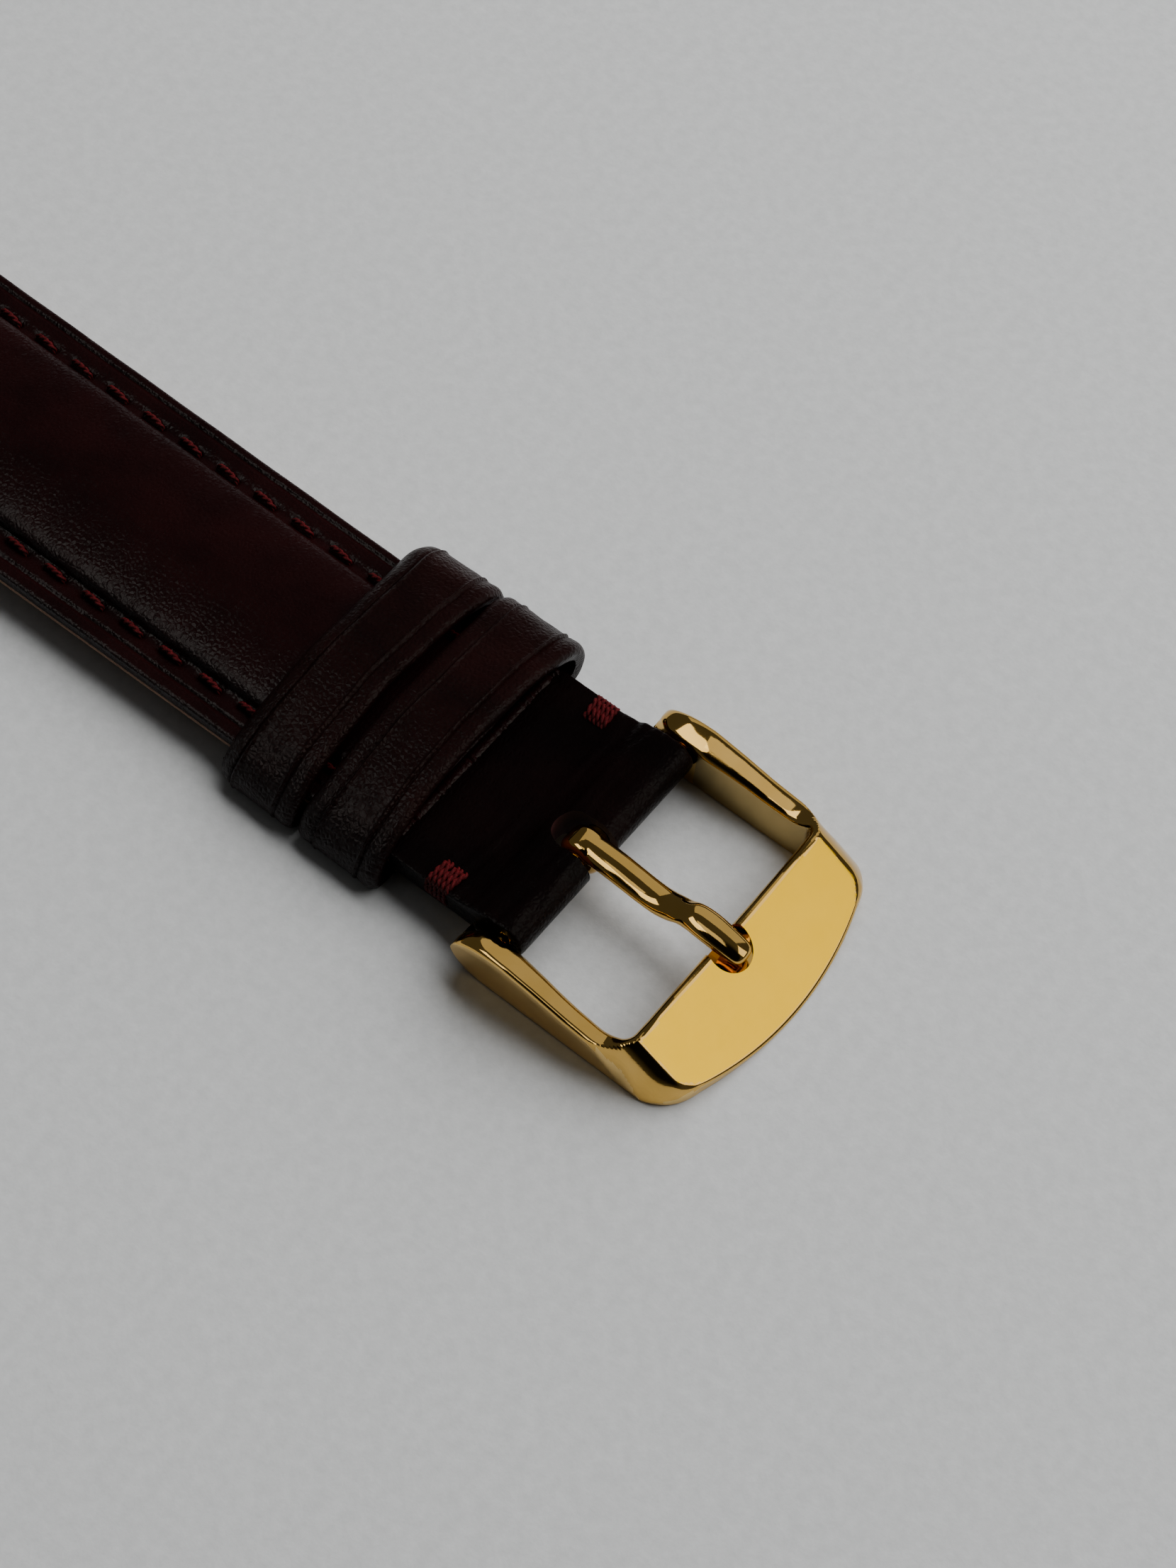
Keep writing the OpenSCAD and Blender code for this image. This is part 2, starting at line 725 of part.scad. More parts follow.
module long_frame() {
    translate([0, -bar_y, bar_z]) rotate([0, 0, 180]) rotate([-long_tilt, 0, 0]) children();
}

function long_half(s0, s1, inset) = concat(
    [[long_hw(s0) - inset, s0]],
    s0 < long_bend && s1 > long_bend ? [[tail_hw - inset, long_bend]] : [],
    s1 < long_len ? [[long_hw(s1) - inset, s1]] : concat(
        [[tail_hw - inset, long_len - 9]],
        curve([tail_hw - inset, long_len - 8], [tail_hw - inset - 0.9, long_len - 1.4 - inset],
            [0, long_len - inset], 10)));

module long_plan(s0, s1, inset, z0, z1) {
    translate([0, 0, z0]) linear_extrude(z1 - z0) polygon(mirrored(long_half(s0, s1, inset)));
}

module long_pad(s0, s1, inset, drop) {
    intersection() {
        long_plan(s0, s1, inset, long_bottom + lining_t, 4);
        translate([0, 42, margin_z + 0.1 - bar_z - pad_R - drop]) rotate([-2 * pad_slope, 0, 0])
            translate([0, 40, 0]) rotate([90, 0, 0]) cylinder(r = pad_R, h = 140, $fn = 128);
    }
}

module strap_holes() {
    for (i = [0:hole_count - 1]) translate([0, first_hole + i * hole_pitch, -5]) cylinder(r = 0.95, h = 10, $fn = 32);
}

module long_upper_1() {
    color(leather) long_frame() difference() {
        union() {
            long_plan(1.95, long_bend - seam_gap, 0, long_bottom + lining_t, margin_z - bar_z);
            long_pad(3, 44.6, pad_inset, 0);
        }
        long_pad(pad_start, 44, pad_inset + 0.3, upper_t);
    }
}

module long_padding_1() {
    color("dimgray") long_frame() long_pad(pad_start + 0.02, 40, pad_inset + 0.32, upper_t + 0.02);
}

module long_lining_1() {
    color(lining_tan) long_frame() difference() {
        union() {
            long_plan(1, long_bend - seam_gap, 0, long_bottom, long_bottom + lining_t);
            rod_x(-lug_hw + 0.15, lug_hw - 0.15, barrel_r);
        }
        rod_x(-10, 10, bar_bore);
    }
}

module long_upper_2() {
    color(leather) long_frame() difference() {
        long_plan(long_bend, long_len, 0, long_bottom + lining_t, margin_z - bar_z);
        strap_holes();
    }
}

module long_lining_2() {
    color(lining_tan) long_frame() difference() {
        long_plan(long_bend, long_len, 0, long_bottom, long_bottom + lining_t);
        strap_holes();
    }
}

module long_stitches(s0, s1) {
    color(thread) long_frame() for (side = [-1, 1], i = [0:floor((s1 - s0) / stitch_pitch)])
        let (s = s0 + i * stitch_pitch)
            translate([side * (long_hw(s) - stitch_inset) - 0.2, s, margin_z - bar_z]) cube([0.4, 1.7, 0.25]);
}

module long_stitching_1() { long_stitches(4.4, long_bend - 2); }
module long_stitching_2() { long_stitches(long_bend + 0.6, long_len - 11); }

case_middle();
bezel();
crystal();
crystal_gasket();
case_back();
back_gasket();
crown();
crown_tube();
stem();
sliding_pinion();
setting_lever();
dial();
hour_markers();
hour_hand();
minute_hand();
second_hand();
movement_ring();
main_plate();
train_bridge();
movement_screws();
battery();
battery_clamp();
circuit_board();
coil();
stator();
rotor();
intermediate_wheel();
seconds_wheel();
third_wheel();
centre_wheel();
minute_wheel();
hour_wheel();
lug_bar_12();
lug_bar_12_tip();
lug_bar_12_spring();
lug_bar_6();
lug_bar_6_tip();
lug_bar_6_spring();
buckle_bar();
buckle_bar_tip();
buckle_bar_spring();
short_upper_1();
short_padding_1();
short_lining_1();
short_stitching_1();
short_upper_2();
short_padding_2();
short_lining_2();
short_stitching_2();
fixed_loop();
free_loop();
buckle_frame();
buckle_tongue();
long_upper_1();
long_padding_1();
long_lining_1();
long_stitching_1();
long_upper_2();
long_lining_2();
long_stitching_2();
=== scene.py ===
"""Looks of the wristwatch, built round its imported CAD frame.

Shapes are worked out in millimetres in the row frame (+Y towards the buckle, +X towards
the crown, +Z out of the dial) and turned into metres as each mesh is made.
"""
import json
import math

import bmesh
import bpy
import numpy as np
from mathutils import Matrix, Vector, noise

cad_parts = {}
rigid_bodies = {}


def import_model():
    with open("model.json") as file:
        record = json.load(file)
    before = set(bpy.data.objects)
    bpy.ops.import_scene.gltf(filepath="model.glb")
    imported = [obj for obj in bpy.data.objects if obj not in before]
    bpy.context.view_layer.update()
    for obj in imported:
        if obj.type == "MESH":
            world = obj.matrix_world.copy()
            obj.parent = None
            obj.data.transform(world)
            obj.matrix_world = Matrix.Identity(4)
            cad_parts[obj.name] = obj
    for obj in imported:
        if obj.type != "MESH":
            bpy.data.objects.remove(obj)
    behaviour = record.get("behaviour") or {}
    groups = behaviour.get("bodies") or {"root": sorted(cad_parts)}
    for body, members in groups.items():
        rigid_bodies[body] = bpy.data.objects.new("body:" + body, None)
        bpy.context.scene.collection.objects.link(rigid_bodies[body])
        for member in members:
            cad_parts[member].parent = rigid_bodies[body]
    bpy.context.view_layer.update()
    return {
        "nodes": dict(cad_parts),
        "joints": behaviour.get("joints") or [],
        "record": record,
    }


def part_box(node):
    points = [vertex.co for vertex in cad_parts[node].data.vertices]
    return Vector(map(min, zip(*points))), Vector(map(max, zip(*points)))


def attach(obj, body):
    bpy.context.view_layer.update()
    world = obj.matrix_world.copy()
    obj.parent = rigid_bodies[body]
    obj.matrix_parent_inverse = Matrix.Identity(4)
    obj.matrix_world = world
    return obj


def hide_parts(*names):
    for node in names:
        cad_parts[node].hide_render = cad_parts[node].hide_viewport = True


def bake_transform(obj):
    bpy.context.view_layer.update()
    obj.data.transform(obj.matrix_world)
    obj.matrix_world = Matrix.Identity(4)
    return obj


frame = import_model()
scene = bpy.context.scene
MM = 0.001


def joint_mm(name):
    """A joint's place in millimetres."""
    joint = next(j for j in frame["joints"] if j["name"] == name)
    return [c / MM for c in joint["pos_m"]]


def box_mm(node):
    """A CAD node's lowest and highest corners in millimetres."""
    low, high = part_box(node)
    return [c / MM for c in low], [c / MM for c in high]


PIN_Y, PIN_Z = joint_mm("buckle_turn")[1:]
BAR_Y, BAR_Z = joint_mm("short_strap_lug")[1:]
STRAP_Z = joint_mm("short_strap_bend")[2]
SHORT_LEN = PIN_Y - BAR_Y
LONG_LEN = 115.0                 # lug bar to the tip of the holed piece
LUG_HW = 8.9                     # strap half width at the lugs
TAIL_HW = 8.0                    # strap half width at the buckle
LINING = 0.7                     # thickness of the lining leather
MARGIN_Z = 2.6                   # top of the stitched margin
UPPER_END = SHORT_LEN - 8.4      # where the top leather ends, behind the fixed loop
STITCH_FROM = 4.4                # lug bar to the first stitch
STITCH_IN = 2.2                  # edge to stitch line
STITCH_PITCH = 3.2
STITCH_LEN = 1.6
STITCH_R = 0.12                  # radius of one ply of the thread
TACK_R = 0.125
THREAD_LAY = 1.1                 # length over which the plies wind once round
PAD_R = 18.6                     # radius of the padding's crown across the strap
PAD_IN = 2.65                    # edge to padding
HOLE_R = 0.95


# ---------------------------------------------------------------- helpers

def smooth(t):
    t = np.clip(t, 0, 1)
    return t * t * (3 - 2 * t)


def roll_off(away, radius):
    """How far a quarter-round edge has dropped: 1 at the edge, 0 from its radius inward."""
    return 1 - np.sqrt(np.clip(1 - (1 - np.clip(away / radius, 0, 1)) ** 2, 0, 1))


def spline(a, b, c, d, t):
    """Point between b and c on the smooth curve through four points (Catmull-Rom)."""
    return 0.5 * (2 * b + (c - a) * t + (2 * a - 5 * b + 4 * c - d) * t ** 2
                  + (3 * b - a - 3 * c + d) * t ** 3)


def link(name, mesh):
    obj = bpy.data.objects.new(name, mesh)
    scene.collection.objects.link(obj)
    return obj


def make(name, verts, faces, *materials):
    """A smooth-shaded object from millimetre points."""
    mesh = bpy.data.meshes.new(name)
    mesh.from_pydata((np.asarray(verts, float).reshape(-1, 3) * MM).tolist(), [], faces)
    mesh.polygons.foreach_set("use_smooth", [True] * len(mesh.polygons))
    for material in materials:
        mesh.materials.append(material)
    return link(name, mesh)


def fix_normals(obj):
    bm = bmesh.new()
    bm.from_mesh(obj.data)
    bmesh.ops.recalc_face_normals(bm, faces=bm.faces)
    bm.to_mesh(obj.data)
    bm.free()


def bake(obj):
    """Applies the modifiers."""
    graph = bpy.context.evaluated_depsgraph_get()
    mesh = bpy.data.meshes.new_from_object(obj.evaluated_get(graph))
    obj.modifiers.clear()
    obj.data = mesh
    mesh.polygons.foreach_set("use_smooth", [True] * len(mesh.polygons))


def soft_edges(obj, angle=42):
    """Only edges sharper than the angle stay crisp."""
    obj.data.set_sharp_from_angle(angle=math.radians(angle))
    return obj


def cut(obj, *cutters):
    """Takes the cutters away from obj."""
    for cutter in cutters:
        modifier = obj.modifiers.new("cut", "BOOLEAN")
        modifier.object = cutter
        modifier.solver = "EXACT"
    bake(obj)
    for cutter in cutters:
        bpy.data.objects.remove(cutter)


def grid(rows, cols, start=0, flip=False):
    """Quads over a rows x cols grid of points."""
    faces = []
    for i in range(rows - 1):
        for j in range(cols - 1):
            a = start + i * cols + j
            b = a + cols
            faces.append((a, a + 1, b + 1, b) if flip else (a, b, b + 1, a + 1))
    return faces


def shell(name, top, bottom, *materials):
    """A closed sheet between two grids of points of the same size."""
    rows, cols = top.shape[:2]
    size = rows * cols
    faces = grid(rows, cols) + grid(rows, cols, size, flip=True)
    rim = [(0, j) for j in range(cols - 1)] + [(i, cols - 1) for i in range(rows - 1)]
    rim += [(rows - 1, j) for j in range(cols - 1, 0, -1)] + [(i, 0) for i in range(rows - 1, 0, -1)]
    index = [i * cols + j for i, j in rim]
    for a, b in zip(index, index[1:] + index[:1]):
        faces.append((a, b, size + b, size + a))
    obj = make(name, np.concatenate([top.reshape(-1, 3), bottom.reshape(-1, 3)]), faces, *materials)
    fix_normals(obj)
    return obj


def tube_points(path, radius, sides, twist=0.0, offset=0.0):
    """Rings of points round a path, with pinched ends; a twist winds it round the path."""
    path = np.asarray(path, float)
    along = np.gradient(path, axis=0)
    along /= np.linalg.norm(along, axis=1)[:, None]
    side = np.cross(along, (0.0, 0.0, 1.0))
    weak = np.linalg.norm(side, axis=1) < 0.2
    side[weak] = np.cross(along[weak], (0.0, 1.0, 0.0))
    side /= np.linalg.norm(side, axis=1)[:, None]
    up = np.cross(side, along)
    t = np.linspace(0, 1, len(path))
    wind = (twist * t)[:, None]
    centre = path + offset * (np.cos(wind) * side + np.sin(wind) * up)
    size = radius * np.sqrt(np.clip(1 - (2 * t - 1) ** 6, 0.02, 1))
    turn = np.linspace(0, 2 * math.pi, sides, endpoint=False)
    return centre[:, None] + size[:, None, None] * (
        np.cos(turn)[None, :, None] * side[:, None] + np.sin(turn)[None, :, None] * up[:, None])


def tube_faces(rings, sides, start=0):
    """Quads between rings of points, and a cap on each end."""
    faces = [(start + i * sides + j, start + i * sides + (j + 1) % sides,
              start + (i + 1) * sides + (j + 1) % sides, start + (i + 1) * sides + j)
             for i in range(rings - 1) for j in range(sides)]
    first = tuple(start + j for j in range(sides))[::-1]
    last = tuple(start + (rings - 1) * sides + j for j in range(sides))
    return faces + [first, last]


def threads(name, paths, radius):
    """Two-ply thread along each path, all in one object."""
    verts, faces, sides = [], [], 8
    for path in paths:
        length = np.linalg.norm(np.diff(path, axis=0), axis=1).sum()
        twist = 2 * math.pi * length / THREAD_LAY
        for ply_side in (1, -1):
            points = tube_points(path, radius, sides, twist, radius * 0.75 * ply_side)
            faces += tube_faces(len(path), sides, len(verts))
            verts.extend(points.reshape(-1, 3))
    return make(name, verts, faces, THREAD)


# ---------------------------------------------------------------- materials

class Nodes:
    """A Principled material being wired up."""

    def __init__(self, name, color, **sockets):
        self.material = bpy.data.materials.new(name)
        self.material.use_nodes = True
        self.tree = self.material.node_tree
        self.shader = self.tree.nodes["Principled BSDF"]
        self.shader.inputs["Base Color"].default_value = (*color, 1)
        for key, value in sockets.items():
            self.shader.inputs[key.replace("_", " ")].default_value = value
        self.place = self.add("ShaderNodeTexCoord").outputs["Object"]

    def add(self, kind, **values):
        node = self.tree.nodes.new(kind)
        for key, value in values.items():
            if key in node.inputs:
                node.inputs[key].default_value = value
            else:
                setattr(node, key, value)
        return node

    def wire(self, a, b):
        self.tree.links.new(a, b)

    def stretched(self, per_mm):
        """Object coordinates with their own scale along X, Y and Z, in features per millimetre."""
        mapping = self.add("ShaderNodeMapping")
        mapping.inputs["Scale"].default_value = [v / MM for v in per_mm]
        self.wire(self.place, mapping.inputs["Vector"])
        return mapping.outputs["Vector"]

    def noise(self, per_mm, detail=3.0, rough=0.55):
        node = self.add("ShaderNodeTexNoise", Scale=1.0, Detail=detail, Roughness=rough)
        self.wire(self.stretched(per_mm), node.inputs["Vector"])
        return node.outputs["Fac"]

    def cells(self, per_mm):
        node = self.add("ShaderNodeTexVoronoi", Scale=1.0, feature="DISTANCE_TO_EDGE")
        self.wire(self.stretched(per_mm), node.inputs["Vector"])
        return node.outputs["Distance"]

    def ramp(self, fac, low, high, a, b):
        """Colour that goes from a to b as fac goes from low to high."""
        node = self.add("ShaderNodeValToRGB")
        node.color_ramp.elements[0].position = low
        node.color_ramp.elements[1].position = high
        node.color_ramp.elements[0].color = (*a, 1)
        node.color_ramp.elements[1].color = (*b, 1)
        self.wire(fac, node.inputs["Fac"])
        return node.outputs["Color"]

    def spread(self, fac, low, high):
        """A number from low to high as fac goes over the middle of a noise."""
        node = self.add("ShaderNodeMapRange")
        for key, value in (("From Min", 0.3), ("From Max", 0.7), ("To Min", low), ("To Max", high)):
            node.inputs[key].default_value = value
        self.wire(fac, node.inputs["Value"])
        return node.outputs["Result"]

    def bump(self, height, strength, depth_mm, under=None):
        node = self.add("ShaderNodeBump", Strength=strength, Distance=depth_mm * MM)
        self.wire(height, node.inputs["Height"])
        if under:
            self.wire(under, node.inputs["Normal"])
        return node.outputs["Normal"]

    def finish(self, color=None, rough=None, normal=None):
        for source, key in ((color, "Base Color"), (rough, "Roughness"), (normal, "Normal")):
            if source:
                self.wire(source, self.shader.inputs[key])
        return self.material


def gold(name, rough, grain, depth, dark=(0.66, 0.4, 0.095), light=(0.72, 0.445, 0.12)):
    """Yellow gold plate: faint cloudiness and hairline scratches."""
    n = Nodes(name, light, Metallic=1.0, Roughness=rough)
    cloud = n.noise((0.5, 0.5, 0.5))
    scratches = n.noise(grain, 2.0)
    return n.finish(n.ramp(cloud, 0.3, 0.7, dark, light),
                    n.spread(cloud, rough * 0.93, rough * 1.08),
                    n.bump(scratches, 0.25, depth))


def leather(name, dark, light, wrinkle=(1.6, 4.2, 1.6), rough=(0.25, 0.33), depth=0.05, shine=0.19):
    """Waxed smooth calf: wrinkle lines across the strap, fine pores and slow colour change."""
    n = Nodes(name, dark, Roughness=rough[0])
    n.shader.inputs["Specular IOR Level"].default_value = shine
    wrinkles = n.bump(n.noise(wrinkle, 4.0, 0.6), 0.7, depth)
    pores = n.bump(n.cells((2.7, 3.3, 2.7)), 1.0, depth * 1.15, wrinkles)
    fine = n.bump(n.noise((9, 9, 9), 2.0), 0.5, depth * 0.4, pores)
    return n.finish(n.ramp(n.noise((0.25, 0.18, 0.25), 4.0), 0.35, 0.7, dark, light),
                    n.spread(n.noise((1.2, 2.2, 1.2)), *rough), fine)


def suede(name, dark, light):
    """Lining: matt split leather with a short nap."""
    n = Nodes(name, dark, Roughness=0.85)
    nap = n.noise((6, 6, 6), 6.0, 0.7)
    return n.finish(n.ramp(nap, 0.3, 0.75, dark, light), None, n.bump(nap, 0.6, 0.06))


def thread_material(name):
    """Waxed thread with fine fibres."""
    n = Nodes(name, (0.1, 0.008, 0.012), Roughness=0.6)
    n.shader.inputs["Specular IOR Level"].default_value = 0.15
    fibres = n.noise((9, 9, 9), 3.0)
    return n.finish(n.ramp(fibres, 0.3, 0.7, (0.02, 0.0014, 0.0019), (0.09, 0.006, 0.008)),
                    None, n.bump(fibres, 0.6, 0.05))


def metal(name, color, rough, grain, depth):
    """Worked metal with its grain stretched along one direction."""
    n = Nodes(name, color, Metallic=1.0, Roughness=rough)
    lines = n.noise(grain, 3.0)
    shade = tuple(c * 0.8 for c in color)
    return n.finish(n.ramp(lines, 0.3, 0.7, shade, color), n.spread(lines, rough * 0.75, rough * 1.35),
                    n.bump(lines, 0.3, depth))


def plastic(name, color, rough):
    """Moulded plastic, rubber, felt or ink with a fine grain."""
    n = Nodes(name, color, Roughness=rough)
    grain = n.noise((5, 5, 5), 3.0)
    return n.finish(n.ramp(grain, 0.3, 0.7, tuple(c * 0.85 for c in color), color),
                    n.spread(grain, rough * 0.85, rough * 1.15), n.bump(grain, 0.2, 0.02))


def glass(name):
    n = Nodes(name, (0.97, 0.985, 0.98), Roughness=0.0, IOR=1.5)
    n.shader.inputs["Transmission Weight"].default_value = 1.0
    faint = n.noise((0.6, 0.6, 0.6))
    return n.finish(None, n.spread(faint, 0.0, 0.015))


def dial_material(name):
    """Sunray dial: brightness changes with the angle round the centre."""
    n = Nodes(name, (0.86, 0.8, 0.66), Metallic=0.55, Roughness=0.34)
    split = n.add("ShaderNodeSeparateXYZ")
    n.wire(n.place, split.inputs["Vector"])
    angle = n.add("ShaderNodeMath", operation="ARCTAN2")
    n.wire(split.outputs["Y"], angle.inputs[0])
    n.wire(split.outputs["X"], angle.inputs[1])
    spokes = n.add("ShaderNodeTexNoise", noise_dimensions="1D", Scale=1.0, Detail=3.0)
    spread = n.add("ShaderNodeMath", operation="MULTIPLY")
    spread.inputs[1].default_value = 40.0
    n.wire(angle.outputs[0], spread.inputs[0])
    n.wire(spread.outputs[0], spokes.inputs["W"])
    fac = spokes.outputs["Fac"]
    return n.finish(n.ramp(fac, 0.3, 0.7, (0.74, 0.67, 0.52), (0.9, 0.85, 0.72)),
                    n.spread(fac, 0.28, 0.4), n.bump(fac, 0.15, 0.01))


def floor_material(name):
    """Pale matt paper."""
    n = Nodes(name, (0.5, 0.5, 0.5), Roughness=0.6)
    n.shader.inputs["Specular IOR Level"].default_value = 0.25
    paper = n.noise((1.1, 1.1, 1.1), 6.0, 0.62)
    return n.finish(n.ramp(paper, 0.35, 0.65, (0.54, 0.547, 0.545), (0.6, 0.606, 0.604)),
                    None, n.bump(paper, 0.25, 0.12))


GOLD = gold("gold_polished", 0.07, (9, 2, 9), 0.004)
# Front facet: the satin roughness is its finish; its stronger, brighter yellow is painted highlight colour for
# its bright reflection.
GOLD_SATIN_PAINTED_HIGHLIGHT = gold("gold_satin_painted_highlight", 0.2, (30, 3, 3), 0.003, (0.78, 0.46, 0.008), (0.84, 0.5, 0.014))
# Outer walls: the rougher satin is their finish; the paler, brighter gold is painted light for their greyer
# reflection.
GOLD_WALL_PAINTED_LIGHT = gold("gold_wall_satin_painted_light", 0.3, (3, 3, 3), 0.002, (0.78, 0.54, 0.2), (0.84, 0.58, 0.22))
# Darker, rougher gold for the window's inner walls: painted shade for the shadowed table they mirror.
GOLD_WINDOW_PAINTED_SHADE = gold("gold_window_painted_shade", 0.22, (3, 3, 3), 0.002, (0.36, 0.26, 0.1), (0.42, 0.3, 0.12))
GOLD_CASE = gold("gold_case", 0.09, (6, 6, 6), 0.004)
LEATHER = leather("strap_leather", (0.0052, 0.0009, 0.001), (0.0098, 0.0017, 0.0018))
LOOP_LEATHER = leather("loop_leather", (0.0042, 0.001, 0.0009), (0.0084, 0.0018, 0.0016),
                       wrinkle=(2.6, 1.5, 2.6), depth=0.07, rough=(0.3, 0.42), shine=0.16)
# Near-black leather for the thin end round the buckle's bar: partly a darker leather, partly painted shade.
END_LEATHER_DARK_AND_SHADED = leather("end_leather_dark_and_shade", (0.0016, 0.0006, 0.0006), (0.0034, 0.001, 0.001),
                      rough=(0.3, 0.42), shine=0.1)
RAW_EDGE = suede("raw_edge", (0.02, 0.005, 0.005), (0.05, 0.012, 0.012))
LINING_LEATHER = suede("lining_leather", (0.2, 0.105, 0.058), (0.33, 0.19, 0.115))
THREAD = thread_material("burgundy_thread")


# ---------------------------------------------------------------- strap shape

def groove(x, centre, half_width, depth):
    return -depth * np.exp(-((x - centre) / half_width) ** 2)


def short_hw(s):
    return LUG_HW + (TAIL_HW - LUG_HW) * np.clip(s / 75, 0, 1)


def long_hw(s):
    return LUG_HW + (TAIL_HW - LUG_HW) * np.clip(s / 48, 0, 1)


def short_place(x, s, z):
    return np.stack(np.broadcast_arrays(x, BAR_Y + s, z), axis=-1)


LONG_TILT = math.asin(STRAP_Z / LONG_LEN)


def long_place(x, s, z):
    """The holed piece runs the other way and slopes down until its tip lies on the table."""
    h = z - BAR_Z
    y = s * math.cos(LONG_TILT) + h * math.sin(LONG_TILT)
    z = BAR_Z - s * math.sin(LONG_TILT) + h * math.cos(LONG_TILT)
    return np.stack(np.broadcast_arrays(-x, -BAR_Y - y, z), axis=-1)


def across(count):
    """Places over the width, -1 to 1, closer together near the edges."""
    t = np.linspace(-1, 1, count)
    return np.sin(t * math.pi / 2 * 0.92) / math.sin(math.pi / 2 * 0.92)


def leather_top(x, s, hw, crown, stitch_from, stitch_to):
    """Height of the top leather: padded crown, stitch channel with holes, creased and rounded edge."""
    inside = hw - PAD_IN
    u = np.clip(np.abs(x) / inside, 0, 1)
    arc = PAD_R - np.sqrt(PAD_R ** 2 - np.minimum(np.abs(x), inside) ** 2)
    pad = np.clip(crown - arc, 0, None) * np.sqrt(1 - u ** 16)
    edge = hw - np.abs(x)
    z = MARGIN_Z + pad
    z = z + groove(edge, np.where(x > 0, 1.05, 0.75), 0.13, 0.16)
    z = z + groove(edge, STITCH_IN, 0.42, 0.12)
    hole = np.abs((s - stitch_from - STITCH_LEN / 2 - STITCH_PITCH / 2) % STITCH_PITCH - STITCH_PITCH / 2)
    sewn = (s > stitch_from - 0.5) & (s < stitch_to + 0.5)
    z = z - np.where(sewn, 0.28 * np.exp(-(edge - STITCH_IN) ** 2 / 0.09
                                         - (hole - (STITCH_PITCH - STITCH_LEN) / 2) ** 2 / 0.05), 0)
    return z - 0.3 * roll_off(edge, 0.35)


def stitch_paths(place, hw, s_from, s_to):
    """One short arched path per stitch, on both sides, slightly slanted."""
    paths = []
    for side in (-1, 1):
        for i in range(int((s_to - s_from) / STITCH_PITCH) + 1):
            s0 = s_from + i * STITCH_PITCH
            wobble = noise.noise(Vector((s0 * 0.7, side, 0.3)))
            t = np.linspace(0, 1, 13)
            s = s0 - 0.12 + t * (STITCH_LEN + 0.24 + 0.12 * wobble)
            x = side * (hw(s) - STITCH_IN) + (0.16 + 0.1 * wobble) * (t - 0.5)
            z = MARGIN_Z - 0.3 + 0.5 * np.clip(4 * t * (1 - t), 0, 1) ** 0.5
            paths.append(place(x, s, z))
    return paths


# ---------------------------------------------------------------- buckle piece

SHORT_STITCH_TO = UPPER_END - 4


def short_crown(s):
    """Height of the padding over the margin; it runs out under the fixed loop."""
    height = 1.3 + (58 - s) * math.tan(math.radians(0.75))
    return height * smooth((s - 3.4) / 2.2) * smooth((UPPER_END - 0.6 - s) / 2.4)


def build_short_upper():
    s = np.concatenate([[1.95, 2.1, 2.3], np.arange(2.6, UPPER_END - 1.0, 0.27),
                        UPPER_END - 0.9 + 0.9 * np.sin(np.linspace(0, math.pi / 2, 9))])[:, None]
    hw = short_hw(s)
    x = across(151)[None, :] * hw
    z = leather_top(x, s, hw, short_crown(s), STITCH_FROM, SHORT_STITCH_TO)
    # the end is turned under in a raised roll
    roll = np.clip((s - (UPPER_END - 1.0)) / 1.0, 0, 1)
    hump = np.sqrt(np.clip(1 - (2 * roll - 1) ** 2, 0, 1)) * (roll > 0)
    pleats = np.sin(x * 2 * math.pi / 0.5 + 2.2 * np.sin(x * 0.9)) * (0.5 + 0.5 * np.sin(x * 2.3 + 1))
    z = z + (0.55 + 0.06 * pleats) * hump - 0.35 * smooth(roll)
    z = z + 0.02 * np.sin(s * 0.9 + x * 0.5)
    floor_z = STRAP_Z + LINING + 0.02
    return soft_edges(shell("strap_buckle_leather", short_place(x, s, z),
                            short_place(x, s, floor_z), LEATHER))


def lining_strip(name, place, s, hw, edge=0.22):
    """Flat strip of lining with rounded edges."""
    s = np.asarray(s, float)[:, None]
    half = hw(s)
    x = across(31)[None, :] * half
    dip = edge * roll_off(half - np.abs(x), edge)
    return soft_edges(shell(name, place(x, s, STRAP_Z + LINING - dip),
                            place(x, s, STRAP_Z + dip), LINING_LEATHER))


def fold(name, place, half, radius, z_top, z_bottom, centre_z, s_bar, s_in, material, bore, wrinkled=0.04):
    """Leather turned round a bar: a rounded end on a thin flat tail that runs to s_in."""
    away = 1 if s_bar < s_in else -1          # the tail runs this way from the bar
    turn = np.linspace(-math.pi / 2, math.pi / 2, 25)
    nose = [(s_bar - away * radius * math.cos(a), centre_z + radius * math.sin(a)) for a in turn]
    reach = abs(s_in - s_bar)
    t = np.linspace(0, 1, 64)[1:]
    top = [(s_bar + away * reach * v,
            centre_z + radius + (z_top - centre_z - radius) * float(smooth(reach * v / 5.2))
            + fold_wrinkle(reach * v)) for v in t]
    bottom = [(s_bar + away * reach * v,
               centre_z - radius + (z_bottom - centre_z + radius) * float(smooth(reach * v / 2.5)))
              for v in t[::-1]]
    outline = np.array(nose + top + bottom)
    n = len(outline)
    xs = half * across(61)
    middle = outline.mean(axis=0)
    rings = []
    for x in xs:
        away_edge = np.clip((half - abs(x)) / 0.35, 0, 1)
        shrink = 0.22 * (1 - math.sqrt(1 - (1 - away_edge) ** 2))
        inward = middle - outline
        inward /= np.maximum(np.linalg.norm(inward, axis=1), 1e-6)[:, None]
        ring = outline + inward * shrink * np.array([0.3, 1.0])
        ring[:, 1] += [wrinkled * ribs(x, abs(v - s_bar), w - centre_z) for v, w in ring]
        rings.append(place(np.full(n, x), ring[:, 0], ring[:, 1]))
    obj = make(name, np.concatenate(rings), tube_faces(len(xs), n), material)
    fix_normals(obj)
    cut(obj, rod("bore", place(0.0, s_bar, centre_z), bore, 2 * half + 4, (1, 0, 0)))
    return soft_edges(obj)


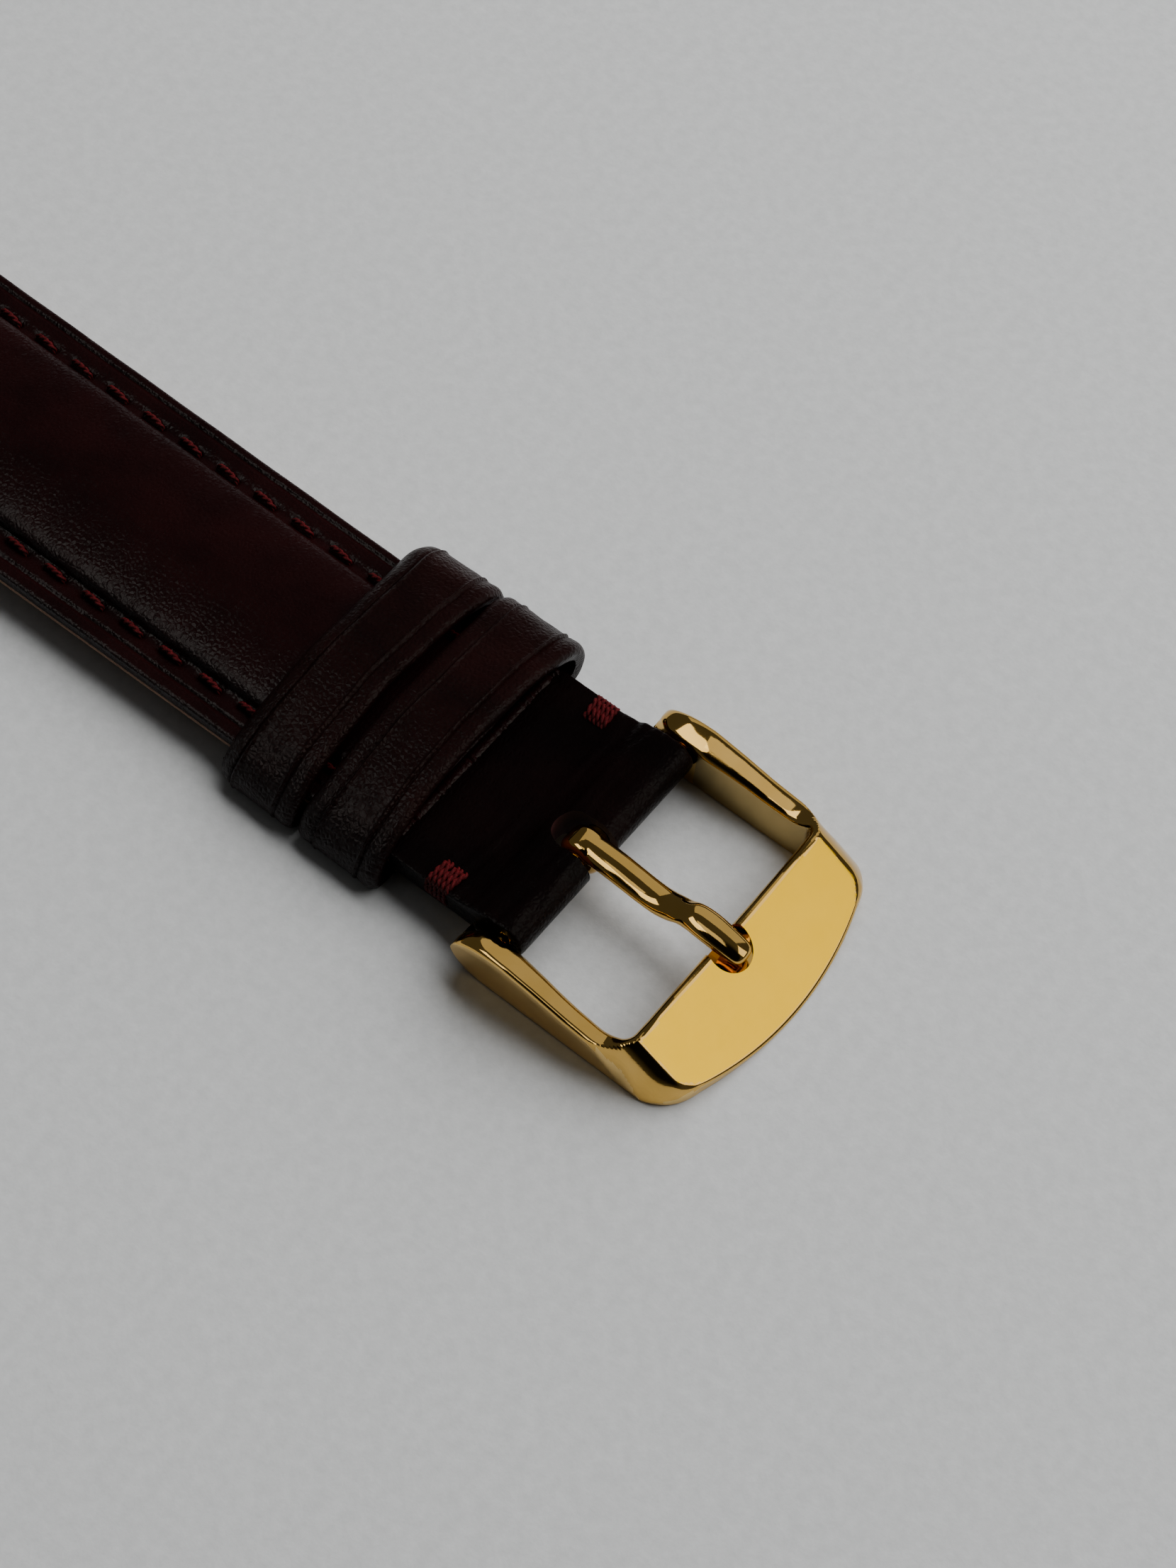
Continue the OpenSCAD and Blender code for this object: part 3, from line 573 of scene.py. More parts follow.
def lug_turn(name, place):
    """End of a strap piece turned round its lug bar."""
    return fold(name, place, half=LUG_HW - 0.05, radius=1.82, z_top=MARGIN_Z, z_bottom=STRAP_Z + 0.03,
                centre_z=BAR_Z, s_bar=0.0, s_in=4.0, material=LEATHER, bore=0.95)


def fold_wrinkle(d):
    """Soft hollow and swell where the leather goes over the bar."""
    return 0.08 * math.exp(-((d - 1.7) / 0.6) ** 2) - 0.08 * math.exp(-((d - 3.2) / 0.7) ** 2)


def ribs(x, d, above):
    """Small uneven wrinkles along the bar, on top only, dying out d mm from it."""
    fade = smooth(np.array(above / 0.5)) * (1 - 0.75 * smooth(np.array((d - 3.2) / 2)))
    return float(fade) * noise.noise(Vector((x * 0.22, d * 1.9 + 0.35 * math.sin(x * 0.6), 4.0)))


def rod(name, centre, radius, length, axis, sides=48):
    """Cylinder, in millimetres, about an axis through its centre."""
    bm = bmesh.new()
    bmesh.ops.create_cone(bm, cap_ends=True, segments=sides, radius1=radius, radius2=radius, depth=length)
    mesh = bpy.data.meshes.new(name)
    bm.to_mesh(mesh)
    bm.free()
    turn = Vector((0, 0, 1)).rotation_difference(Vector(axis)).to_matrix().to_4x4()
    mesh.transform(Matrix.Scale(MM, 4) @ Matrix.Translation(Vector(centre)) @ turn)
    mesh.polygons.foreach_set("use_smooth", [True] * len(mesh.polygons))
    return link(name, mesh)


def slot_cutter(centre_x, y_end, radius, y_open, z0, z1):
    """A slot with one round end."""
    turn = np.linspace(0, math.pi, 25)
    ring = [(centre_x + radius * math.cos(a), y_end + radius - radius * math.sin(a)) for a in turn]
    ring += [(centre_x - radius, y_open), (centre_x + radius, y_open)]
    n = len(ring)
    verts = [(x, y, z) for z in (z0, z1) for x, y in ring]
    faces = [tuple(range(n)), tuple(range(n, 2 * n))[::-1]] + \
        [(i, (i + 1) % n, n + (i + 1) % n, n + i) for i in range(n)]
    obj = make("slot", verts, faces)
    fix_normals(obj)
    return obj


TONGUE_X = (box_mm("buckle_tongue")[0][0] + box_mm("buckle_tongue")[1][0]) / 2
SLOT_END = PIN_Y - 2.25          # round end of the tongue's slot
SLOT_R = 1.325


def build_short_end():
    """Thin end of the top leather, turned round the buckle's bar and slotted for the tongue."""
    # its near-black leather is partly painted shade
    obj = fold("strap_buckle_turn", short_place, half=TAIL_HW + 0.15, radius=1.42, z_top=2.88,
               z_bottom=STRAP_Z + 0.02, centre_z=PIN_Z, s_bar=SHORT_LEN, s_in=UPPER_END - 0.4,
               material=END_LEATHER_DARK_AND_SHADED, bore=0.8, wrinkled=0.16)
    cut(obj, slot_cutter(TONGUE_X, SLOT_END, SLOT_R, PIN_Y + 4, 0, 8))
    obj.data.materials.append(RAW_EDGE)
    for poly in obj.data.polygons:
        x, y = poly.center.x / MM, poly.center.y / MM
        if abs(x - TONGUE_X) < 1.5 and SLOT_END - 0.2 < y < PIN_Y + 1.2 and abs(poly.normal.z) < 0.3:
            poly.material_index = 1
    return soft_edges(obj)


def bar_tacks():
    """Thread wrapped over each edge of the thin end."""
    paths = []
    for side in (-1, 1):
        for i in range(5):
            lean = 0.22 * noise.noise(Vector((i * 1.7, side * 3.1, 0.0)))
            y = PIN_Y - 5.65 + 0.33 * i
            over = np.array([(side * 6.35, y + 0.1 + lean, 2.72), (side * 6.6, y + 0.08 + lean, 3.0),
                             (side * 7.3, y, 3.06), (side * 7.85, y - 0.06, 3.0), (side * 8.12, y - 0.1, 2.6),
                             (side * 8.14, y - 0.12, 1.7), (side * 7.9, y - 0.12, 1.15)])
            paths.append(curve_through(over, 19))
    return paths


def curve_through(points, count):
    """Smooth path through given points."""
    p = np.asarray(points, float)
    p = np.concatenate([[2 * p[0] - p[1]], p, [2 * p[-1] - p[-2]]])
    out = []
    for u in np.linspace(0, len(p) - 3 - 1e-9, count):
        i = int(u)
        out.append(spline(*p[i:i + 4], u - i))
    return np.array(out)


# ---------------------------------------------------------------- holed piece

TIP_FROM = LONG_LEN - 9          # where the sides start to close to the tip
LONG_STITCH_TO = LONG_LEN - 11
HOLES = [62 + 6.5 * i for i in range(7)]


def long_outline(s):
    """Half width, closing to the pointed tip."""
    t = np.clip((s - TIP_FROM) / (LONG_LEN - TIP_FROM), 0, 1)
    return long_hw(s) * np.sqrt(np.clip(1 - t ** 2.2, 0, 1)) ** 1.05


def long_crown(s):
    """Height of the padding over the margin; it has run out well before the holes."""
    height = np.clip(0.1 + (42 - s) * math.tan(math.radians(1.5)), 0, None)
    return height * smooth((s - 3.4) / 2.2) * smooth((46 - s) / 8)


def long_stations(step):
    """Distances from the lug bar, closer together towards the tip."""
    return np.concatenate([[1.95, 2.1, 2.3], np.arange(2.6, TIP_FROM, step),
                           TIP_FROM + (LONG_LEN - 0.02 - TIP_FROM) * np.sin(np.linspace(0, math.pi / 2, 40))])


def build_long_upper():
    s = long_stations(0.3)[:, None]
    hw = long_outline(s)
    x = across(81)[None, :] * hw
    z = leather_top(x, s, np.maximum(hw, 0.3), long_crown(s), STITCH_FROM, LONG_STITCH_TO)
    z = np.maximum(z, STRAP_Z + LINING + 0.3)
    return shell("strap_holed_leather", long_place(x, s, z),
                 long_place(x, s, STRAP_Z + LINING + 0.02), LEATHER)


def punch(obj):
    """Makes the row of holes for the tongue."""
    cut(obj, *[rod("hole", long_place(0.0, at, 2.0), HOLE_R, 8, (0, 0, 1)) for at in HOLES])
    return soft_edges(obj)


# ---------------------------------------------------------------- loops

FIXED_LOOP = (-14.5, -8.8)       # each loop's two edges, from the pin
FREE_LOOP = (-21.0, -15.2)
LOOP_T = 0.98                    # thickness of the doubled leather
LOOP_EDGE = 0.45                 # radius of its rolled edges


def loop_profile():
    """Centre line of a loop's outer skin in the X-Z plane, once round."""
    near = [(0, 5.36), (2.6, 5.16), (4.8, 4.7), (6.9, 4.05), (8.6, 3.1), (9.7, 1.8), (9.9, 0.8), (9.2, 0.12),
            (7.0, 0.02), (3.5, 0.02), (0, 0.02)]
    far = [(-2.6, 5.3), (-4.8, 5.12), (-6.9, 4.85), (-8.9, 4.25), (-10.15, 3.05), (-10.35, 1.4), (-9.5, 0.2),
           (-7.0, 0.02), (-3.5, 0.02)]
    p = np.array(near + far[::-1], float)
    n = len(p)
    out = []
    for u in np.linspace(0, n, 140, endpoint=False):
        i = int(u)
        out.append(spline(*(p[(i + k) % n] for k in (-1, 0, 1, 2)), u - i))
    return np.array(out)


def build_loop(name, y0, y1, drop_start):
    """Band of doubled leather: rolled edges, a pressed line beside each, sunk a little at one edge."""
    ring = loop_profile()
    ahead = np.roll(ring, -1, axis=0) - np.roll(ring, 1, axis=0)
    ahead /= np.linalg.norm(ahead, axis=1)[:, None]
    out = np.stack([-ahead[:, 1], ahead[:, 0]], axis=1)
    if (out * (ring - ring.mean(axis=0))).sum() < 0:
        out = -out
    width = y1 - y0
    edge_w = LOOP_EDGE * (1 - np.cos(np.linspace(0, math.pi / 2, 7)))
    w = np.concatenate([edge_w, np.linspace(0.55, width - 0.55, 64), width - edge_w[::-1]])
    near = np.minimum(w, width - w)
    rounded = -0.42 * roll_off(near, LOOP_EDGE)
    pressed = groove(near, 1.25, 0.07, 0.13) + 0.05 * np.exp(-((near - 0.6) / 0.3) ** 2) \
        + 0.09 * np.exp(-((near - 1.42) / 0.09) ** 2)
    skin = rounded + pressed - drop_start * np.clip(1 - w / 1.6, 0, 1) ** 2
    under_w = np.linspace(width - 0.15, 0.15, 16)
    under = np.full(len(under_w), -LOOP_T)
    section = np.stack([np.concatenate([w, under_w]), np.concatenate([skin, under])], axis=1)
    cols = len(section)
    verts = []
    for point, normal in zip(ring, out):
        flat = smooth(np.array((point[1] - 0.3) / 1.5))
        for along, offset in section:
            lumps = 0.08 * noise.noise(Vector((point[0] * 0.5, along * 0.7 + y0, point[1]))) * (offset > -0.9)
            o = offset + lumps * float(flat)
            x, z = point + normal * o
            flare = (along / width - 0.5) * 0.5 * smooth(np.array((abs(x) - 5) / 4.5)) \
                + 0.12 * noise.noise(Vector((x * 0.3, y0, z * 0.3 + (along > width / 2) * 9)))
            verts.append((x, PIN_Y + y0 + along + float(flare), max(z, 0.0)))
    n = len(ring)
    faces = [(i * cols + k, i * cols + (k + 1) % cols,
              (i + 1) % n * cols + (k + 1) % cols, (i + 1) % n * cols + k)
             for i in range(n) for k in range(cols)]
    obj = make(name, verts, faces, LOOP_LEATHER)
    fix_normals(obj)
    return soft_edges(obj, 50)


# ---------------------------------------------------------------- buckle

ARM_OUT = 10.25                  # half width outside
WINDOW_HW = 8.2                  # half width of the window at its foot
FRONT_Y = 15.55                  # pin to the middle of the front edge
FRONT_R = 23.0
FRONT_HW = 7.6                   # where the front curve gives way to the rounded corner
FRAME_IN_Y = 9.8                 # pin to the window's front side
FACET_Y = 10.45                  # rear edge of the flat facet
FACET_Z = 3.42                   # and its height
FACET_SLOPE = 0.63
BEVEL_X = 8.66                   # where the bevel at each corner starts
ARM_END_Y = -2.25
ARM_END_Z = 1.9                  # middle of the arm's teardrop end
FOOT_R = 0.18                    # rounding where the walls meet the table
NOTCH_Y = 10.65
NOTCH_R = 1.45
# FACET, WALL and WINDOW slots hold gold copies with painted light: yellower facet, paler outer walls, darker
# inner walls.
FACET, WALL, WINDOW = 1, 2, 3    # material indices


def soft_min(a, b, r):
    """The lower of two heights, with the crease between them rounded over about r."""
    h = np.clip(0.5 + (b - a) / (2 * r), 0, 1)
    return b + (a - b) * h - r * h * (1 - h)


def ridge_z(y):
    """Height of the arms' outer ridge along the buckle."""
    return np.interp(y, [-1, 0.4, 1.6, 3.7, 6, 7.7, 9.2], [3.98, 4.02, 3.98, 3.6, 3.05, 2.8, 2.74])


def buckle_top(x, y):
    """Top of the buckle: arms that slope inward, a flat front facet and a bevel at each corner."""
    ax = np.abs(x)
    inward = np.clip(10.15 - ax, 0, 3)
    arm = ridge_z(y) - 0.22 * inward - 0.13 * inward ** 2
    facet = FACET_Z - FACET_SLOPE * (y - FACET_Y)
    rim = FACET_Z + 0.06 - 0.2 * np.clip(10.35 - y, 0, 2) ** 1.4
    body = arm + (rim - arm) * smooth((y - 7.9) / 2.4)
    out = np.clip(ax - BEVEL_X, 0, None)
    bevel = facet + 0.02 - 0.6 * out - 0.55 * out ** 2 + 0.5 * np.clip(BEVEL_X - ax, 0, None)
    return soft_min(soft_min(body, facet, 0.05), bevel, 0.1)


def buckle_outline():
    """Pairs of plan points, inner and outer, along the U from one arm's end to the other's."""
    arm_y = ARM_END_Y - ARM_END_Y * (1 - np.cos(np.linspace(0, math.pi / 2, 16)))
    arm_y = np.concatenate([arm_y, np.linspace(0.1, 9.2, 42)])
    inner, outer = [], []
    for y in arm_y:
        spoon = 1.55 * (1 - math.sqrt(max(1 - (max(0.4 - y, 0) / 2.66) ** 2, 0)))
        inner.append((np.interp(y, [0, 2, 5, 8, 9], [8.42, 8.46, 8.72, 8.84, 8.8]) + spoon, y))
        outer.append((ARM_OUT, y if y < 6 else 6 + (y - 6) * 1.35))
    last = outer[-1][1]
    for a in np.linspace(0, math.pi / 2, 24)[1:]:
        inner.append((8.25 + 0.55 * math.cos(a), 9.25 + 0.55 * math.sin(a)))
        # the outer line goes up the side wall, round the front corner and into the long front curve
        outer.append(outer_corner(last, a / (math.pi / 2)))
    x_start = outer[-1][0]
    for t in np.linspace(0, 1, 60)[1:]:
        xo = x_start * (1 - t)
        inner.append((8.25 * (1 - t), FRAME_IN_Y))
        outer.append((xo, front_y(xo)))
    inner, outer = np.array(inner), np.array(outer)
    flip = np.array([-1.0, 1.0])
    return (np.concatenate([inner, (inner * flip)[-2::-1]]), np.concatenate([outer, (outer * flip)[-2::-1]]))


def front_y(x):
    """Long curve of the buckle's front edge."""
    return FRONT_Y - (FRONT_R - math.sqrt(FRONT_R ** 2 - x * x))


def outer_corner(last, t):
    """From the side wall at y = last to the front curve, with a rounded corner between."""
    start = np.array([ARM_OUT, last])
    a = np.array([ARM_OUT, 11.8])
    b = np.array([9.75, 13.8])
    end = np.array([FRONT_HW, front_y(FRONT_HW)])
    if t < 0.3:
        return tuple(start + (a - start) * t / 0.3)
    u = (t - 0.3) / 0.7
    return tuple((1 - u) ** 2 * a + 2 * u * (1 - u) * b + u * u * end)


def outer_rounding(q):
    """Reach in and down of the rounded outer edge, and the lowest the top may come there."""
    corner = float(smooth((q[1] - 8.5) / 2.6) * smooth((abs(q[0]) - 7.4) / 2.2))
    end = float(smooth((1.5 - q[1]) / 3))
    front = float(smooth((q[1] - 13.0) / 1.5))
    reach = 0.4 + 0.9 * corner + 0.45 * end - 0.2 * front
    drop = 0.4 + 0.75 * corner + 0.3 * end - 0.3 * front
    return reach, drop, 0.07 + 0.28 * corner


def rim_line(p, q, frac):
    """Top of the buckle from the inner point p to the outer point q, with both rims rounded."""
    along = p + (q - p) * frac[:, None]
    top = buckle_top(along[:, 0], along[:, 1])
    d_in = np.linalg.norm(along - p, axis=1)
    d_out = np.linalg.norm(along - q, axis=1)
    top = top - 0.3 * roll_off(d_in, 0.38)
    reach, drop, lowest = outer_rounding(q)
    drop = min(drop, max(top[-1] - lowest, 0.08))
    return along, top - drop * roll_off(d_out, reach)


def buckle_section(p, q, frac):
    """Closed section of the frame: over the top, down the outer wall, under and up the window's wall."""
    along, top = rim_line(p, q, frac)
    bottom = 0.0
    if p[1] < 0.1:
        # teardrop end of the arm
        e = math.sqrt(max(1 - ((p[1] - 0.1) / 2.36) ** 2, 0.0))
        top = ARM_END_Z + (top - ARM_END_Z) * e
        bottom = ARM_END_Z - ARM_END_Z * e
    wall_in = inner_bottom(p)
    low = min(FOOT_R, 0.5 * (top[0] - bottom), 0.5 * (top[-1] - bottom))
    ring = [(x, y, z) for (x, y), z in zip(along, top)]
    base_out = bottom + low
    ring += [(q[0], q[1], top[-1] + (base_out - top[-1]) * t) for t in np.linspace(0, 1, 7)[1:]]
    inward = (p - q) / max(np.linalg.norm(p - q), 1e-6)
    for a in (30, 60, 90):
        r = math.radians(a)
        foot = FOOT_R * (1 - math.cos(r))
        ring.append((q[0] + inward[0] * foot, q[1] + inward[1] * foot, bottom + low * (1 - math.sin(r))))
    for t in (0.3, 0.6, 0.9):
        under = q + inward * FOOT_R + (wall_in - q - inward * FOOT_R) * t
        ring.append((under[0], under[1], bottom))
    ring.append((wall_in[0], wall_in[1], bottom + low * 0.5))
    for t in (0.2, 0.4, 0.6, 0.8, 0.93):
        wall = wall_in + (p - wall_in) * t
        ring.append((wall[0], wall[1], bottom + low + (top[0] - bottom - low) * t))
    return ring


def build_buckle():
    frac = 0.5 - 0.5 * np.cos(np.linspace(0, math.pi, 34))
    frac = 0.5 * frac + 0.5 * np.linspace(0, 1, 34)
    rows = [buckle_section(p, q, frac) for p, q in zip(*buckle_outline())]
    verts = np.array(rows).reshape(-1, 3) + np.array([0, PIN_Y, 0])
    obj = make("buckle", verts, tube_faces(len(rows), len(rows[0])), GOLD, GOLD_SATIN_PAINTED_HIGHLIGHT)
    fix_normals(obj)
    cut(obj, rod("notch", (TONGUE_X, PIN_Y + NOTCH_Y, 2.3 + 4), NOTCH_R, 8, (0, 0, 1)),
        *[rod("bar_seat", (side * 8.7, PIN_Y, PIN_Z), 0.45, 1.3, (1, 0, 0)) for side in (-1, 1)])
    soft_edges(obj, 24)
    obj.data.materials.append(GOLD_WALL_PAINTED_LIGHT)
    obj.data.materials.append(GOLD_WINDOW_PAINTED_SHADE)
    facet_normal = Vector((0, FACET_SLOPE, 1)).normalized()
    for poly in obj.data.polygons:
        x, y = poly.center.x / MM, poly.center.y / MM - PIN_Y
        normal = poly.normal
        outward = x * normal.x + (y - 4) * normal.y
        on_arm, upright = y < 8.5, abs(normal.z) < 0.3
        # outer walls get the paler, brighter gold: painted light
        if (on_arm and abs(x) > ARM_OUT - 0.03) or (not on_arm and upright and outward > 3):
            poly.material_index = WALL
        # the window's inner walls get the darker gold: painted shade
        if outward < -2 and abs(normal.z) < 0.45 and abs(normal.y) < 0.5 and abs(x) < 9.2 and 1.5 < y < 9.95:
            poly.material_index = WINDOW
        # the facet gets the yellower satin gold: partly its finish, partly painted highlight
        if normal.dot(facet_normal) > math.cos(math.radians(2.5)) and y > FACET_Y + 0.05:
            poly.material_index = FACET
    return obj


def inner_bottom(p):
    """Foot of the window's wall below the rim point p: the wall leans outward as it rises."""
    x = WINDOW_HW if p[1] < 8.7 else min(abs(p[0]), WINDOW_HW)
    return np.array([math.copysign(x, p[0]), min(p[1], 9.85)])


# ---------------------------------------------------------------- tongue

KNUCKLE_R = 1.40
TONGUE_W = 1.95


def build_tongue():
    """Rounded prong: it dips in the middle, is pinched before its kink and narrows at the tip."""
    stations = [  # distance from the pin, top, underside (from the pin), half width
        (-1.36, 0.28, -0.10, 0.30), (-1.2, 0.70, -0.40, 0.66), (-0.7, 1.20, -0.50, 0.9), (0, 1.40, -0.3, 0.97),
        (1.2, 1.38, 0.00, 0.975), (2.4, 1.30, -0.02, 0.975), (3.6, 1.12, -0.12, 0.97),
        (4.8, 0.98, -0.25, 0.96), (5.8, 1.05, -0.28, 0.95), (6.7, 1.42, -0.05, 0.92), (7.4, 1.80, 0.35, 0.88),
        (8.1, 2.02, 0.62, 0.95), (8.8, 2.02, 0.66, 1.0), (9.5, 1.94, 0.60, 1.0), (10.3, 1.78, 0.45, 0.96),
        (11.0, 1.60, 0.38, 0.9), (11.6, 1.36, 0.42, 0.78), (11.88, 1.14, 0.58, 0.5), (11.96, 0.92, 0.8, 0.1)]
    line = curve_through(np.array(stations), 90)
    sides = 36
    turn = np.linspace(0, 2 * math.pi, sides, endpoint=False)
    verts = []
    for y, top, low, half in line:
        x = half * np.cos(turn)
        z = (top + low) / 2 + (top - low) / 2 * np.sin(turn)
        # pinched dents on both sides of the kink, above only
        dent = 0.16 * np.exp(-((y - 7.3) / 0.38) ** 2 - ((np.abs(x) - 0.62) / 0.26) ** 2)
        dent *= np.sin(turn) > 0
        verts.extend(np.stack([TONGUE_X + x, np.full(sides, PIN_Y + y), PIN_Z + z - dent], axis=1))
    shank = make("shank", verts, tube_faces(len(line), sides), GOLD)
    fix_normals(shank)
    knuckle = rod("tongue", (TONGUE_X, PIN_Y, PIN_Z), KNUCKLE_R, TONGUE_W, (1, 0, 0), 64)
    knuckle.data.materials.append(GOLD)
    rounding = knuckle.modifiers.new("rounding", "BEVEL")
    rounding.width = 0.55 * MM
    rounding.segments = 6
    rounding.limit_method = "ANGLE"
    bake(knuckle)
    joined = knuckle.modifiers.new("join", "BOOLEAN")
    joined.operation = "UNION"
    joined.object = shank
    joined.solver = "EXACT"
    bake(knuckle)
    bpy.data.objects.remove(shank)
    cut(knuckle, rod("bore", (TONGUE_X, PIN_Y, PIN_Z), 0.8, 4, (1, 0, 0)))
    return soft_edges(knuckle, 35)


# ---------------------------------------------------------------- pieces


def bend_short(obj):
    """Bakes the piece's placement into its mesh; no bend is applied."""
    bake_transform(obj)


def bend_long(obj):
    """Bakes the piece's placement into its mesh; no bend is applied."""
    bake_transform(obj)


def buckle_piece():
    upper = build_short_upper()
    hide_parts("short_upper_1", "short_upper_2", "short_padding_1", "short_padding_2")
    bend_short(upper)

    s = np.concatenate([np.arange(1.4, UPPER_END, 0.8), [UPPER_END + 0.2]])
    lining = lining_strip("strap_buckle_lining", short_place, s, lambda v: short_hw(v) - 0.06)
    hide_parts("short_lining_1", "short_lining_2")
    bend_short(lining)

    turn = lug_turn("strap_12_turn", short_place)
    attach(turn, "short_strap_1")

    end = build_short_end()
    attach(end, "short_strap_2")

    stitching = threads("strap_buckle_stitching",
                        stitch_paths(short_place, short_hw, STITCH_FROM, SHORT_STITCH_TO), STITCH_R)
    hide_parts("short_stitching_1", "short_stitching_2")
    bend_short(stitching)

    tacks = threads("strap_bar_tacks", bar_tacks(), TACK_R)
    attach(tacks, "short_strap_2")


def holed_piece():
    upper = punch(build_long_upper())
    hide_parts("long_upper_1", "long_upper_2", "long_padding_1")
    bend_long(upper)

    lining = lining_strip("strap_holed_lining", long_place, long_stations(0.8)[1:],
                          lambda v: long_outline(v) * 0.993)
    punch(lining)
    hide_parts("long_lining_1", "long_lining_2")
    bend_long(lining)

    turn = lug_turn("strap_6_turn", long_place)
    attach(turn, "long_strap_1")

    stitching = threads("strap_holed_stitching",
                        stitch_paths(long_place, long_outline, STITCH_FROM, LONG_STITCH_TO), STITCH_R)
    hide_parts("long_stitching_1", "long_stitching_2")
    bend_long(stitching)


def loops():
    fixed = build_loop("loop_fixed", *FIXED_LOOP, drop_start=0.15)
    free = build_loop("loop_free", *FREE_LOOP, drop_start=0.75)
    for obj, node, body in ((fixed, "fixed_loop", "short_strap_2"), (free, "free_loop", "free_loop")):
        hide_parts(node)
        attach(obj, body)


def buckle():
    body = build_buckle()
    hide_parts("buckle_frame")
    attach(body, "buckle")
    tongue = build_tongue()
    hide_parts("buckle_tongue")
    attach(tongue, "tongue")


def dial_track():
    """Printed minute marks round the dial, between its hour markers."""
    z = box_mm("dial")[1][2] + 0.012
    inner, outer, half = 12.7, 13.3, 0.07
    verts, faces = [], []
    for i in range(60):
        if i % 5 == 0:
            continue
        a = math.radians(6 * i)
        for r, side in ((inner, -1), (outer, -1), (outer, 1), (inner, 1)):
            verts.append((r * math.sin(a) + side * half * math.cos(a),
                          r * math.cos(a) - side * half * math.sin(a), z))
        faces.append(tuple(range(len(verts) - 4, len(verts))))
    obj = make("minute_track", verts, faces, plastic("track_ink", (0.03, 0.03, 0.032), 0.5))
    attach(obj, "head")


def cad_finishes():
    """A worked material for every CAD node that stays in view."""
    finishes = {
        "gold_case": GOLD_CASE, "gold_buckle": GOLD,
        "gold_hands": gold("gold_hands", 0.12, (3, 14, 3), 0.003),
        "steel": metal("steel_turned", (0.62, 0.63, 0.65), 0.24, (4, 22, 22), 0.004),
        "strap_leather": LEATHER, "lining_leather": LINING_LEATHER, "thread": THREAD,
        "padding": plastic("felt", (0.12, 0.12, 0.12), 0.9),
        "crystal": glass("crystal_glass"),
        "seal": plastic("seal_rubber", (0.03, 0.03, 0.032), 0.55),
        "crystal_seal": plastic("seal_nylon", (0.7, 0.7, 0.68), 0.4),
        "dial": dial_material("dial_sunray"),
        "spacer": plastic("spacer_nylon", (0.62, 0.62, 0.6), 0.45),
        "plate": metal("plate_brass", (0.78, 0.6, 0.3), 0.3, (14, 2, 14), 0.006),
        "bridge": metal("bridge_brass", (0.8, 0.64, 0.34), 0.26, (2, 16, 2), 0.006),
        "train": metal("train_brass", (0.82, 0.64, 0.3), 0.22, (8, 8, 8), 0.003),
        "cell": metal("cell_steel", (0.7, 0.71, 0.73), 0.2, (20, 3, 3), 0.003),
        "board": plastic("board_green", (0.03, 0.13, 0.06), 0.4),
        "winding": metal("winding_copper", (0.75, 0.32, 0.16), 0.3, (18, 2, 2), 0.02),
    }
    slots = {part["node"]: part["material_slot"] for part in frame["record"]["subparts"]}
    for node, obj in frame["nodes"].items():
        obj.data.materials.clear()
        obj.data.materials.append(finishes[slots[node]])
    for node in ("case_middle", "bezel", "crown", "case_back"):
        rounding = frame["nodes"][node].modifiers.new("rounding", "BEVEL")
        rounding.width = 0.1 * MM
        rounding.segments = 2
        rounding.limit_method = "ANGLE"
        rounding.angle_limit = math.radians(40)
        rounding.harden_normals = False


# ---------------------------------------------------------------- table, light, camera

def aim(obj, at, target):
    """Puts obj at a place, with its -Z towards the target."""
    obj.location = at
    obj.rotation_mode = "QUATERNION"
    obj.rotation_quaternion = (Vector(target) - Vector(at)).to_track_quat("-Z", "Y")


def lamp(name, direction, size, radiance, seen=True, lights=True, distance=0.55, color=(1, 1, 1)):
    """Rectangular lamp facing the buckle: seen in what is polished, lighting what is matt, or both."""
    data = bpy.data.lights.new(name, "AREA")
    data.shape = "RECTANGLE"
    data.size, data.size_y = size
    data.energy = radiance * math.pi * size[0] * size[1]
    data.color = color
    obj = bpy.data.objects.new(name, data)
    scene.collection.objects.link(obj)
    target = Vector((0, PIN_Y * MM, 0))
    aim(obj, target + Vector(direction).normalized() * distance, target)
    obj.visible_glossy = seen
    obj.visible_diffuse = lights
    return obj


